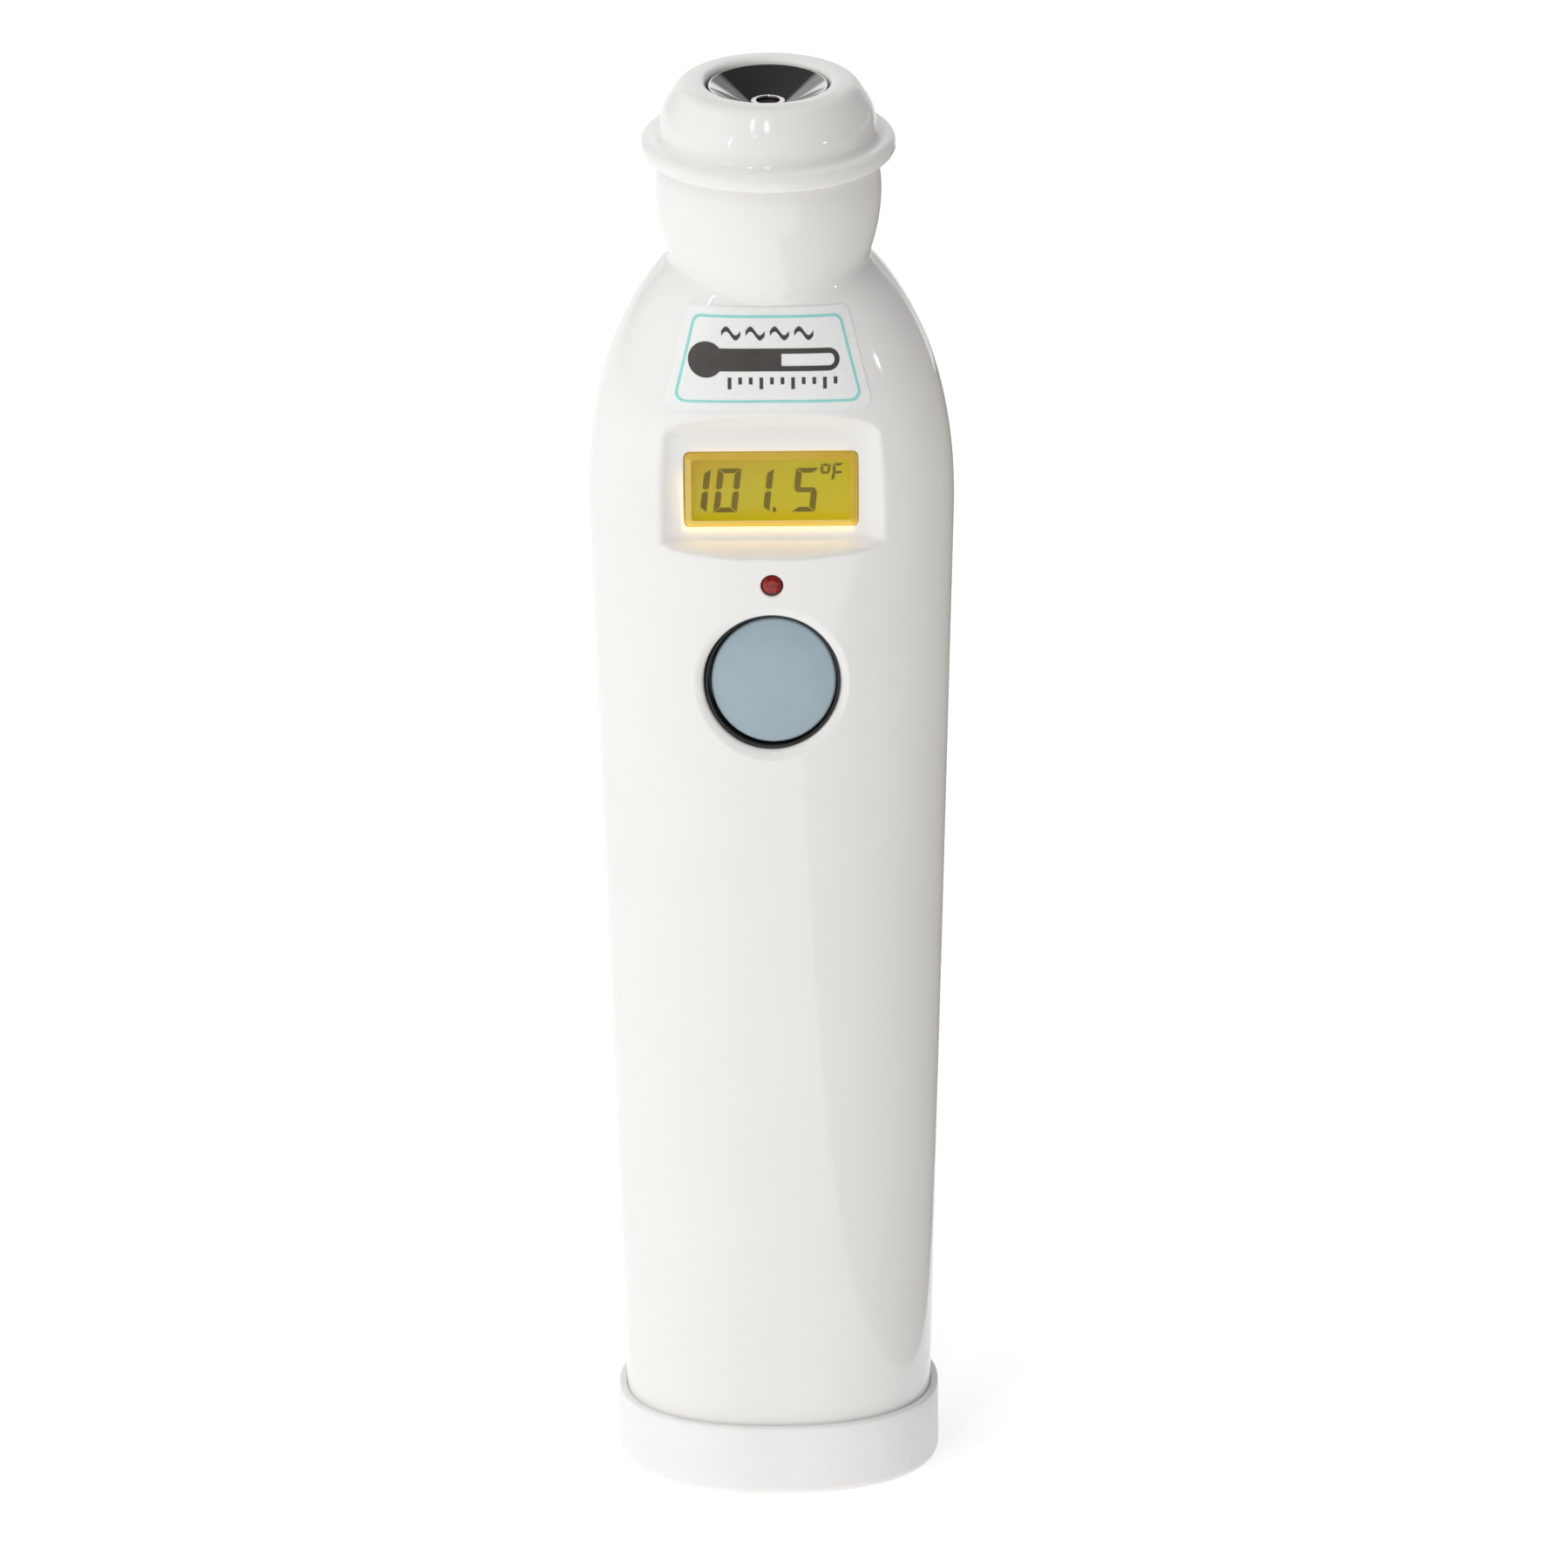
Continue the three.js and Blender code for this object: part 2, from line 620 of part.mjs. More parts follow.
// The glass has a smaller front pane that fills the opening behind the window.
function lcdGlass() {
  const pane = solid(atDisplay(slabY(9.7, 4.15, 0.4, 0.7, 2.8)));
  const main = solid(atDisplay(slabY(LCD_HALF_WIDTH, LCD_HALF_HEIGHT, 0.2, 2.6, 4.4)));
  return join(pane, main);
}

function lcdFrame() {
  const outer = solid(atDisplay(slabY(12.2, 8, 0.8, 2.7, 6.4)));
  const inner = solid(atDisplay(slabY(LCD_HALF_WIDTH + GAP, LCD_HALF_HEIGHT + GAP, 0.4, 0, 9)));
  return cut(outer, inner);
}

piece('display_window', displayWindow(), AMBER);
piece('lcd_glass', lcdGlass(), DISPLAY_GREEN);
piece('lcd_frame', lcdFrame(), CLEAR_WHITE);
piece('backlight_guide', solid(atDisplay(slabY(9.2, 4.6, 0.4, 4.7, 6.1))), CLEAR_WHITE);
for (const [side, name] of [[-1, 'left'], [1, 'right']]) {
  const lamp = atDisplay(box(side * 10.2 - 0.6, side * 10.2 + 0.6, 4.8, 6, -1.5, 1.5));
  piece(`backlight_led_${name}`, solid(lamp), CLEAR_WHITE);
}
for (const [side, name] of [[1, 'upper'], [-1, 'lower']]) {
  const strip = atDisplay(box(-10, 10, 4.7, 6.3, side * 5.7 - 0.55, side * 5.7 + 0.55));
  piece(`contact_strip_${name}`, solid(strip), RUBBER);
}

// ---- Button, its bezel and its switch -------------------------------------------------------

const FACE = BUTTON_DEPTH;
const BUTTON_BODY = [
  [0, FACE], [BUTTON_RADIUS - 0.4, FACE], [BUTTON_RADIUS, FACE + 0.4], [BUTTON_RADIUS, 4.2],
  [8.5, 4.2], [8.5, 4.9], [2, 4.9], [2, 5.3], [0, 5.3],
];
piece('button', solid(buttonTurned(BUTTON_BODY, BUTTON_OFFSET)), BUTTON_GREY);

const BEZEL = [
  [BEZEL_INNER, 1], [BEZEL_OUTER, 1], [BEZEL_OUTER, 3.3], [9.4, 3.3], [9.4, 3.9], [BEZEL_INNER, 3.9],
];
piece('button_bezel', solid(buttonTurned(BEZEL)), BLACK_PLASTIC);

const SWITCH_Z = BUTTON_Z - 5.3 * Math.sin(BUTTON_TILT);
const SWITCH_TOP_Y = -9;
const PLUNGER_TOP_Y = -9.95;

function switchBody() {
  const housing = solid(box(-3, 3, SWITCH_TOP_Y, BOARD_FRONT_Y - GAP, SWITCH_Z - 3, SWITCH_Z + 3));
  return cut(housing, solid(rodY(2, SWITCH_TOP_Y - 1, SWITCH_TOP_Y + 1.6, 0, SWITCH_Z)));
}

piece('switch_body', switchBody(), BLACK_PLASTIC);
piece('switch_plunger', solid(rodY(1.7, PLUNGER_TOP_Y, SWITCH_TOP_Y + 0.9, 0, SWITCH_Z)), CLEAR_WHITE);

// ---- Indicator lamp ---------------------------------------------------------------------------

function statusLed() {
  const tip = -surfaceDepth(0, LAMP_Z) - 0.12;
  const dome1 = LAMP_RADIUS * 0.5;
  const dome2 = LAMP_RADIUS * 0.87;
  const body = turnedY([
    [0, tip], [dome1, tip + 0.16], [dome2, tip + 0.6], [LAMP_RADIUS, tip + 1.2],
    [LAMP_RADIUS, -10], [1.5, -10], [1.5, -9.2], [0, -9.2],
  ], 0, LAMP_Z);
  const legs = [-0.7, 0.7].map((x) => solid(box(
    x - 0.2,
    x + 0.2,
    -9.4,
    BOARD_FRONT_Y - GAP,
    LAMP_Z - 0.2,
    LAMP_Z + 0.2,
  )));
  return join(solid(body), ...legs);
}

piece('status_led', statusLed(), RED_LAMP);

// ---- Main board and what it carries -------------------------------------------------------------

function mainBoard() {
  const board = solid(box(
    -BOARD_HALF_WIDTH,
    BOARD_HALF_WIDTH,
    BOARD_FRONT_Y,
    BOARD_BACK_Y,
    BOARD_BOTTOM_Z,
    BOARD_TOP_Z,
  ));
  const holes = BOARD_SCREWS.map(([x, z]) => solid(rodY(1.25, -10, 10, x, z, 16)));
  return cut(board, ...holes);
}

piece('main_board', mainBoard(), BOARD_GREEN);
BOARD_SCREWS.forEach(([x, z], index) => {
  const screw = screwY(1.8, 1.1, 0.9, 5.4, x, BOARD_BACK_Y + GAP, z);
  piece(`board_screw_${index + 1}`, solid(screw), STEEL);
});

// A part soldered on the back of the board: centre, width, height and thickness.
function backPart(name, x, z, width, height, thickness, material) {
  const y0 = BOARD_BACK_Y + GAP;
  const y1 = y0 + thickness;
  const x0 = x - width / 2;
  const z0 = z - height / 2;
  piece(name, solid(box(x0, x0 + width, y0, y1, z0, z0 + height)), material);
}

backPart('microcontroller', 0, 125, 10, 10, 1.6, CHIP_BLACK);
backPart('amplifier_chip', -4.5, 135.5, 4, 5, 1.4, CHIP_BLACK);
backPart('memory_chip', 6, 112, 4, 5, 1.4, CHIP_BLACK);
backPart('crystal', -6, 113.5, 3.5, 8, 2.6, STEEL);
backPart('sensor_connector', 0, 141, 6, 3, 2.4, CLEAR_WHITE);
backPart('battery_connector', 0, 78.4, 6, 3.6, 3.2, CLEAR_WHITE);

piece('buzzer', solid(rodY(5.5, BOARD_BACK_Y + GAP, 1.4, 0, 92)), BLACK_PLASTIC);
piece('capacitor', solid(rodY(2.5, BOARD_BACK_Y + GAP, 3, 7, 102, 16)), STEEL);

// ---- Battery ---------------------------------------------------------------------------------------

function uprightSlab(halfX, halfY, radius, z0, z1) {
  const options = { depth: z1 - z0, bevelEnabled: false, curveSegments: 4 };
  return new THREE.ExtrudeGeometry(roundedRectangle(halfX, halfY, radius), options).translate(0, 0, z0);
}

const TERMINAL_X = 6.35;

function battery() {
  const top = BATTERY_BOTTOM_Z + BATTERY_CASE_HEIGHT;
  const block = uprightSlab(BATTERY_WIDTH / 2, BATTERY_DEPTH / 2, 3, BATTERY_BOTTOM_Z, top);
  const small = uprightRod(2.9, top - 0.5, top + TERMINAL_HEIGHT, -TERMINAL_X, 0, ROUND);
  const large = uprightRod(4, top - 0.5, top + TERMINAL_HEIGHT, TERMINAL_X, 0, 6);
  return join(solid(block), solid(small), solid(large));
}

piece('battery', battery(), BATTERY_CASE);
piece('battery_snap', solid(uprightSlab(11.5, 6, 2, SNAP_Z, SNAP_Z + 2)), BLACK_PLASTIC);

for (const [side, name, material] of [[-1, 'red_lead', RED_WIRE], [1, 'black_lead', BLACK_WIRE]]) {
  const start = SNAP_Z + 2 + GAP;
  const end = BOARD_BOTTOM_Z + 0.3;
  const route = new THREE.CubicBezierCurve3(
    new THREE.Vector3(side * 3, 3.5, start),
    new THREE.Vector3(side * 3, 3.5, start + 4.5),
    new THREE.Vector3(side * 1.5, -0.9, end - 5),
    new THREE.Vector3(side * 1.5, -0.9, end),
  );
  piece(name, solid(tubeAlong(route, 0.6, 10)), material);
}

export default object;
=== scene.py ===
import math

import bpy
import numpy as np
from mathutils import Matrix, Vector
from mathutils.geometry import delaunay_2d_cdt


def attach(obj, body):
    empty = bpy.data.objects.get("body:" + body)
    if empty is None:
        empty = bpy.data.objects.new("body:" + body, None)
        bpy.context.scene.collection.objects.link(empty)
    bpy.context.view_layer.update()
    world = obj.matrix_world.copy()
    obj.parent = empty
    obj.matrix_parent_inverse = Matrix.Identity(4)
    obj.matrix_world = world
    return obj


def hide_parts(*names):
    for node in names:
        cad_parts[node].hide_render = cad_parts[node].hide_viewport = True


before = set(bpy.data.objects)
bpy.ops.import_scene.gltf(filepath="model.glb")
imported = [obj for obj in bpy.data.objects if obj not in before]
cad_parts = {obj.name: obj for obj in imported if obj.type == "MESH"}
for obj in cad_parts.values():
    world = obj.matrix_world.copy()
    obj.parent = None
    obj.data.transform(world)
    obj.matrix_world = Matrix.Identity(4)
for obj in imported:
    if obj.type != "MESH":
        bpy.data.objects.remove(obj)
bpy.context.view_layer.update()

# Looks of a hand-held infrared thermometer. Shapes are worked out in millimetres, in the
# frame of the CAD model: +Z up, the display and the button face -Y.

MM = 0.001

# ---- Driving dimensions, in millimetres ----

WALL = 1.7
FOOT_Z = 1.5
FOOT_HALF_WIDTH = 17.62
WIDTH_TAPER = 0.0303
SHOULDER_Z = 119
SHOULDER_HEIGHT = 36.7
SHOULDER_POWER = 2.05
FOOT_HALF_DEPTH = 13.9
HALF_DEPTH = 16
DEEPEST_Z = 75
CROWN_HEIGHT = 83
CROWN_POWER = 3
DEPTH_CURVE = 1.6
SECTION_POWER = 2.3

NECK_RADIUS = 13.05
NECK_Z = 159
NECK_HALF_HEIGHT = 17.5
NECK_TOP_Z = 163.1
NECK_BLEND = 1.1          # softness of the crease between the neck and the shoulders

BUTTON_Z = 103.24
BUTTON_TILT = math.radians(3)
BUTTON_STRETCH = 1.05
BUTTON_HOLE = 7.85
BUTTON_LIP = 1.25
BUTTON_OFFSET = 0.15
HOLE_X = -0.1             # the hole sits a little low and left of the button
HOLE_Z = 103.12
LIP_PROFILE = [
    (0.06, 0.004), (0.14, 0.03), (0.25, 0.08), (0.4, 0.16), (0.56, 0.26), (0.7, 0.36), (0.82, 0.48),
    (0.91, 0.62), (0.97, 0.78), (1.0, 0.95),
]

LAMP_Z = 115.23
LAMP_RADIUS = 1.18

DISPLAY_Y = -11.6
DISPLAY_Z = 125.85
DISPLAY_TILT = math.radians(4)
WINDOW_HALF_WIDTH = 9.97
WINDOW_HALF_HEIGHT = 4.4
RECESS_REACH = 17         # the recess ends well within this distance of the display's middle

DOOR_HALF_WIDTH = 13.4
DOOR_LOW = 10.8
DOOR_HIGH = 68.6
SHELL_SCREWS = [(side * 15.8, z) for z in (72, 122) for side in (-1, 1)]
SHELL_SCREW_FLOOR = 7.3
DOOR_SCREW = (0, 13.6)
DOOR_SCREW_FLOOR = 12.2

# The sheet that covers one side of the handle is laid out flat: across is the angle from
# the middle of that side times this radius, and up is the height.
LAYOUT_RADIUS = 18


# ---- Small tools ----

def smooth_max(a, b, softness):
    overlap = np.maximum(softness - np.abs(a - b), 0) / softness
    return np.maximum(a, b) + overlap * overlap * softness / 4


def make_object(name, points, faces, materials, face_slots=None, sharp=None):
    """A mesh object from points in millimetres, smooth apart from edges above the sharp angle."""
    mesh = bpy.data.meshes.new(name)
    mesh.from_pydata([tuple(p) for p in np.asarray(points, float) * MM], [], faces)
    for material in materials:
        mesh.materials.append(material)
    if face_slots is not None:
        mesh.polygons.foreach_set("material_index", face_slots)
    mesh.validate()
    mesh.shade_smooth()
    if sharp is not None:
        mesh.set_sharp_from_angle(angle=math.radians(sharp))
    thing = bpy.data.objects.new(name, mesh)
    bpy.context.scene.collection.objects.link(thing)
    return thing


def band(before, after):
    """The faces between two rings of points that are numbered alike."""
    size = len(before)
    turns = [(k, (k + 1) % size) for k in range(size)]
    return [(before[n], before[k], after[k], after[n]) for k, n in turns]


def install(thing, body, slot, *nodes):
    """The object stands for CAD nodes and rides on their body. slot is not used."""
    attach(thing, body)
    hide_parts(*nodes)
    return thing


def rounded(corners, steps=6):
    """A closed path through (a, b, radius) corners, each turned with an arc of that radius."""
    path = []
    for i, (a, b, radius) in enumerate(corners):
        corner = np.array([a, b], float)
        if radius == 0:
            path.append(corner)
            continue
        before = np.array(corners[i - 1][:2], float) - corner
        after = np.array(corners[(i + 1) % len(corners)][:2], float) - corner
        before_length, after_length = np.linalg.norm(before), np.linalg.norm(after)
        before, after = before / before_length, after / after_length
        half_turn = math.acos(np.clip(before @ after, -1, 1)) / 2
        reach = min(radius / math.tan(half_turn), 0.499 * before_length, 0.499 * after_length)
        centre = corner + (before + after) / np.linalg.norm(before + after) * reach / math.cos(half_turn)
        start, end = corner + before * reach - centre, corner + after * reach - centre
        angle = math.acos(np.clip(start @ end / (start @ start), -1, 1))
        for step in range(steps + 1):
            t = step / steps
            weights = (math.sin((1 - t) * angle), math.sin(t * angle))
            path.append(centre + (weights[0] * start + weights[1] * end) / math.sin(angle))
    return np.array(path)


def lathe_mesh(profile, segments, stretch=1.0):
    """Points and faces of a closed [radius, height] profile turned about Z."""
    points, rings, faces = [], [], []
    for radius, height in profile:
        if radius < 1e-6:
            rings.append([len(points)] * segments)
            points.append((0, 0, height))
            continue
        rings.append(list(range(len(points), len(points) + segments)))
        for k in range(segments):
            angle = 2 * math.pi * k / segments
            points.append((radius * math.cos(angle), radius * math.sin(angle) * stretch, height))
    for i, ring in enumerate(rings):
        after = rings[(i + 1) % len(rings)]
        shapes = [list(dict.fromkeys(face)) for face in band(after, ring)]
        faces += [face for face in shapes if len(face) > 2]
    return np.array(points), faces


def lathe(name, corners, material, segments, sharp=40, place=None, stretch=1.0, steps=6):
    """A turned piece about Z from rounded corners that go up the outside and down the inside."""
    points, faces = lathe_mesh(rounded(corners, steps=steps), segments, stretch)
    if place is not None:
        points = place(points)
    return make_object(name, points, faces, [material], sharp=sharp)


def turned(name, body, slot, node, corners, material, segments, **settings):
    """A turned piece that stands for a CAD node."""
    install(lathe(name, corners, material, segments, **settings), body, slot, node)


def facing_front(points):
    """Turns a piece made about Z, its top up, so that its top faces -Y."""
    return np.stack([points[:, 0], -points[:, 2], points[:, 1]], 1)


def tilted(points, tilt, y, z):
    """Leans a piece that faces -Y back by tilt, and puts its origin at (0, y, z)."""
    c, s = math.cos(tilt), math.sin(tilt)
    px, py, pz = points.T
    return np.stack([px, y + py * c + pz * s, z - py * s + pz * c], 1)


def at_display(points):
    return tilted(np.asarray(points, float), DISPLAY_TILT, DISPLAY_Y, DISPLAY_Z)


def bar(x0, z0, x1, z1):
    return [(x0, z0), (x1, z0), (x1, z1), (x0, z1)]


def rectangle_path(half_width, half_height, radius, steps=6):
    corners = [(1, -1), (1, 1), (-1, 1), (-1, -1)]
    return rounded([(x * half_width, z * half_height, radius) for x, z in corners], steps=steps)


# ---- The handle's outer form ----

def dome(z, start, height, power):
    t = np.clip((z - start) / height, 0, 1)
    return (1 - t ** power) ** (1 / power)


def half_width(z, inset=0):
    straight = FOOT_HALF_WIDTH + WIDTH_TAPER * z - inset
    return straight * dome(z, SHOULDER_Z, SHOULDER_HEIGHT - inset, SHOULDER_POWER)


def half_depth(z, inset=0):
    swell = 1 - np.clip(1 - z / DEEPEST_Z, 0, 1) ** DEPTH_CURVE
    lower = FOOT_HALF_DEPTH + (HALF_DEPTH - FOOT_HALF_DEPTH) * swell - inset
    upper = (HALF_DEPTH - inset) * dome(z, DEEPEST_Z, CROWN_HEIGHT - 1.5 * inset, CROWN_POWER)
    return np.where(z < DEEPEST_Z, lower, upper)


def neck_radius(z, inset=0):
    t = np.clip((z - NECK_Z) / (NECK_HALF_HEIGHT - inset), -1, 1)
    return (NECK_RADIUS - inset) * np.sqrt(1 - t * t)


def handle_radius(angle, z, inset=0):
    """Distance from the axis at an angle measured from the middle of the front or rear."""
    a = np.maximum(half_width(z, inset), 1e-3)
    b = np.maximum(half_depth(z, inset), 1e-3)
    across = (np.abs(np.sin(angle)) / a) ** SECTION_POWER
    along = (np.abs(np.cos(angle)) / b) ** SECTION_POWER
    body = (across + along) ** (-1 / SECTION_POWER)
    return smooth_max(body, neck_radius(z, inset), NECK_BLEND)


def handle_points(flat, inset=0):
    """Points of the front half from (across, up) places on the flat layout."""
    angle, z = flat[:, 0] / LAYOUT_RADIUS, flat[:, 1]
    radius = handle_radius(angle, z, inset)
    return np.stack([radius * np.sin(angle), -radius * np.cos(angle), z], 1)


def surface_depth(x, z):
    share = np.abs(x / half_width(z)) ** SECTION_POWER
    return half_depth(z) * (1 - np.clip(share, 0, 1)) ** (1 / SECTION_POWER)


def laid_out(outline):
    """The flat places of an outline given as it is seen from straight in front, as (x, z)."""
    x, z = np.asarray(outline, float).T
    return np.stack([np.arctan2(x, surface_depth(x, z)) * LAYOUT_RADIUS, z], 1)


def display_recess(x, z):
    """The y of the recess round the display: a sloping floor with four dished walls."""
    floor = DISPLAY_Y + (z - DISPLAY_Z) * math.tan(DISPLAY_TILT)
    side = (np.abs(x) - 11.0) / 2.6
    low = (DISPLAY_Z - 6.2 - z) / 0.38
    high = (z - DISPLAY_Z - 7.4) / 0.88
    rise = smooth_max(smooth_max(smooth_max(low, high, 0.2), side, 1.7), 0 * z, 0.5)
    return floor - rise


def recessed(points, behind, softness):
    """Points of the front half, pushed back to where the recess lies, or to behind it."""
    x, y, z = points.T
    near = (np.abs(x) < RECESS_REACH) & (np.abs(z - DISPLAY_Z) < RECESS_REACH)
    sunk = smooth_max(y, display_recess(x, z) + behind, softness)
    return np.stack([x, np.where(near, sunk, y), z], 1)


def front_surface(flat):
    return recessed(handle_points(flat), 0, 0.36)


def front_inner(flat):
    return recessed(handle_points(flat, WALL), 1.5, 0.6)


THUMB_Z = 58
THUMB_RADII = (7.5, 5.2)


def rear_surface(flat):
    """The rear half before it is turned to face +Y, with the door's thumb dish and its ridges."""
    points = handle_points(flat)
    x, y, z = points.T
    away = (x / THUMB_RADII[0]) ** 2 + ((z - THUMB_Z) / THUMB_RADII[1]) ** 2
    dish = np.clip(1 - away, 0, 1) ** 1.5
    ridge_window = np.clip(1.6 * (1 - away), 0, 1) * np.clip((5.4 - np.abs(x)) / 1.2, 0, 1)
    ridges = ridge_window * np.clip(np.cos((z - THUMB_Z) * 2 * math.pi / 1.9), 0, 1)
    return np.stack([x, y + 0.95 * dish - 0.5 * ridges, z], 1)


def rear_inner(flat):
    return handle_points(flat, WALL)


def normals_of(surface, flat):
    across, up = np.array([0.02, 0]), np.array([0, 0.02])
    du = surface(flat + across) - surface(flat - across)
    dv = surface(flat + up) - surface(flat - up)
    n = np.cross(du, dv)
    return n / np.linalg.norm(n, axis=1)[:, None]


# ---- Panels: parts of the handle's skin, with openings ----

def loop_area(loop):
    x, y = loop.T
    return 0.5 * np.sum(x * np.roll(y, -1) - np.roll(x, -1) * y)


def inside(points, loop):
    hit = np.zeros(len(points), bool)
    px, py = points.T
    for (ax, ay), (bx, by) in zip(loop, np.roll(loop, -1, 0)):
        crosses = (ay > py) != (by > py)
        if ay != by:
            hit ^= crosses & (px < (bx - ax) * (py - ay) / (by - ay) + ax)
    return hit


def distance_to(points, loop):
    """How far each point is from the loop's nearest corner; loops are finely divided."""
    return np.min([np.hypot(*(points - corner).T) for corner in loop], axis=0)


def matched(first, second, spacing):
    """Two loops of equal length divided alike, as finely as the first one needs."""
    one, two = [], []
    for a, b, c, d in zip(first, np.roll(first, -1, 0), second, np.roll(second, -1, 0)):
        pieces = max(1, int(math.ceil(np.linalg.norm(b - a) / spacing)))
        for k in range(pieces):
            one.append(a + (b - a) * k / pieces)
            two.append(c + (d - c) * k / pieces)
    return np.array(one), np.array(two)


def resampled(loop, spacing):
    return matched(loop, loop, spacing)[0]


class Edge:
    """An edge of a panel: the ring of flat places where its rounding starts, and the ring where
    the skin would meet the edge's wall. axis is the way the wall goes, straight in unless given.
    tail lists functions that make further rings from the corner ring, and profile lists
    (share of the way from start to corner, depth) steps of the rounding."""

    def __init__(self, start, corner, fillet, tail, axis=None, profile=None):
        self.start, self.corner = start, corner
        self.axis, self.tail = axis, tail
        steps = (0.16, 0.33, 0.5, 0.67, 0.84, 1.0)
        self.profile = profile or [(2 * t - t * t, fillet * t * t) for t in steps]


def grid(columns, rows):
    across, up = np.meshgrid(columns, rows)
    return np.stack([across.ravel(), up.ravel()], 1)


def triangulate(loops, fill):
    """Flat triangles over the loops and the fill, and where each loop's places ended up."""
    links, first = [], 0
    for loop in loops:
        links += [(first + k, first + (k + 1) % len(loop)) for k in range(len(loop))]
        first += len(loop)
    places = [Vector(place) for place in np.concatenate([*loops, *fill])]
    result = delaunay_2d_cdt(places, links, [], 0, 1e-6)
    flat = np.array([tuple(place) for place in result[0]])
    place_of = {original: out for out, originals in enumerate(result[3]) for original in originals}
    rings, first = [], 0
    for loop in loops:
        rings.append([place_of[first + k] for k in range(len(loop))])
        first += len(loop)
    triangles = np.array([face for face in result[2] if len(face) == 3])
    a, b, c = (flat[triangles[:, k]] for k in range(3))
    turn = (b - a)[:, 0] * (c - a)[:, 1] - (b - a)[:, 1] * (c - a)[:, 0]
    triangles[turn < 0] = triangles[turn < 0][:, ::-1]
    return flat, rings, triangles


def covered(flat, triangles, loops):
    """The triangles inside the first loop and outside the others."""
    centres = flat[triangles].mean(1)
    keep = inside(centres, loops[0])
    for loop in loops[1:]:
        keep &= ~inside(centres, loop)
    return triangles[keep]


def spaced(points, loops, clearance):
    """Which points are inside the first loop and outside the others, and clear of them all."""
    keep = inside(points, loops[0])
    for loop in loops:
        keep &= distance_to(points, loop) > clearance
    for loop in loops[1:]:
        keep &= ~inside(points, loop)
    return keep


def panel(name, surface, inner, outline, holes, grids, material, rear=False):
    """A closed panel: the skin inside outline and outside holes, its rounded edges and its back.
    grids are (points, spacing) pairs, and a later one takes the place of an earlier one."""
    edges = [outline, *holes]
    for i, edge in enumerate(edges):
        if (loop_area(edge.start) > 0) != (i == 0):
            edge.start, edge.corner = edge.start[::-1], edge.corner[::-1]
    loops = [edge.start for edge in edges]
    fill = []
    for i, (points, spacing) in enumerate(grids):
        keep = spaced(points, loops, 0.52 * spacing)
        for later, _ in grids[i + 1:]:
            low, high = later.min(0) - 0.3 * spacing, later.max(0) + 0.3 * spacing
            keep &= ~np.all((points > low) & (points < high), axis=1)
        fill.append(points[keep])
    flat_out, starts, triangles = triangulate(loops, fill)
    triangles = covered(flat_out, triangles, loops)

    count = len(flat_out)
    points = [surface(flat_out), inner(flat_out)]
    faces = triangles.tolist() + (triangles[:, ::-1] + count).tolist()
    total = 2 * count
    for edge, skin_ring in zip(edges, starts):
        before = skin_ring
        start, corner = surface(edge.start), surface(edge.corner)
        axis = -normals_of(surface, edge.corner) if edge.axis is None else np.array(edge.axis)
        rings = [start + (corner - start) * share + axis * depth for share, depth in edge.profile]
        rings += [further(corner) for further in edge.tail]
        for ring in rings:
            points.append(ring)
            after = range(total, total + len(ring))
            faces += band(before, after)
            before, total = after, total + len(ring)
        faces += band(before, [place + count for place in skin_ring])
    points = np.concatenate(points)
    skin_normals = normals_of(surface, flat_out)
    if rear:
        points[:, :2] *= -1
        skin_normals[:, :2] *= -1
    thing = make_object(name, points, faces, [material])
    mesh = thing.data
    normals = np.zeros(3 * len(mesh.vertices), np.float32)
    mesh.vertices.foreach_get("normal", normals)
    normals = normals.reshape(-1, 3)
    normals[:count] = skin_normals
    mesh.normals_split_custom_set_from_vertices(normals.tolist())
    return thing


def inward(depth):
    """A ring straight in from the corner ring, towards the middle of the handle."""
    def ring(corner):
        towards = corner * np.array([1, 1, 0])
        length = np.linalg.norm(towards, axis=1)[:, None]
        return corner - towards / length * depth
    return ring


def shrunk(y, centre, factor):
    """A ring at a depth y, drawn in towards a centre (x, z)."""
    def ring(corner):
        x = centre[0] + (corner[:, 0] - centre[0]) * factor
        z = centre[1] + (corner[:, 2] - centre[1]) * factor
        return np.stack([x, np.full(len(corner), -y), z], 1)
    return ring


def screw_seat(x, z, floor, bottom, factor):
    """The rings of a screw's well: its floor at one depth, then the shank's hole to a deeper one."""
    return [shrunk(depth, (x, z), size) for depth, size in ((floor, 1), (floor, factor), (bottom, factor))]


def half_shell_edge():
    """The parting line, the top of the neck and the foot of one half of the handle."""
    gap, fillet = 0.05, 0.22
    side = math.pi / 2 * LAYOUT_RADIUS
    start_side = side - gap - fillet
    low, high = FOOT_Z, NECK_TOP_Z
    start = np.array(bar(-start_side, low + 1, start_side, high - fillet))
    start = resampled(start, 1.1)
    corner = start.copy()
    at_side = np.abs(start[:, 0]) > start_side - 1e-6
    corner[at_side, 0] = np.sign(start[at_side, 0]) * (side - gap)
    corner[:, 1] = np.where(start[:, 1] < low + 1 + 1e-6, low, corner[:, 1])
    corner[:, 1] = np.where(start[:, 1] > high - fillet - 1e-6, high, corner[:, 1])
    return Edge(start, corner, 0.3, [inward(1.4)])


def oval(x, z, radius, count, stretch=1.0):
    angles = np.arange(count) * 2 * math.pi / count
    return np.stack([x + radius * np.cos(angles), z + radius * stretch * np.sin(angles)], 1)


def round_hole(x, z, radius, lip, count, tail, axis=(0, 1, 0), stretch=1.0, profile=None):
    start = laid_out(oval(x, z, radius + lip, count, stretch))
    corner = laid_out(oval(x, z, radius, count, stretch))
    return Edge(start, corner, lip, tail, axis, profile)


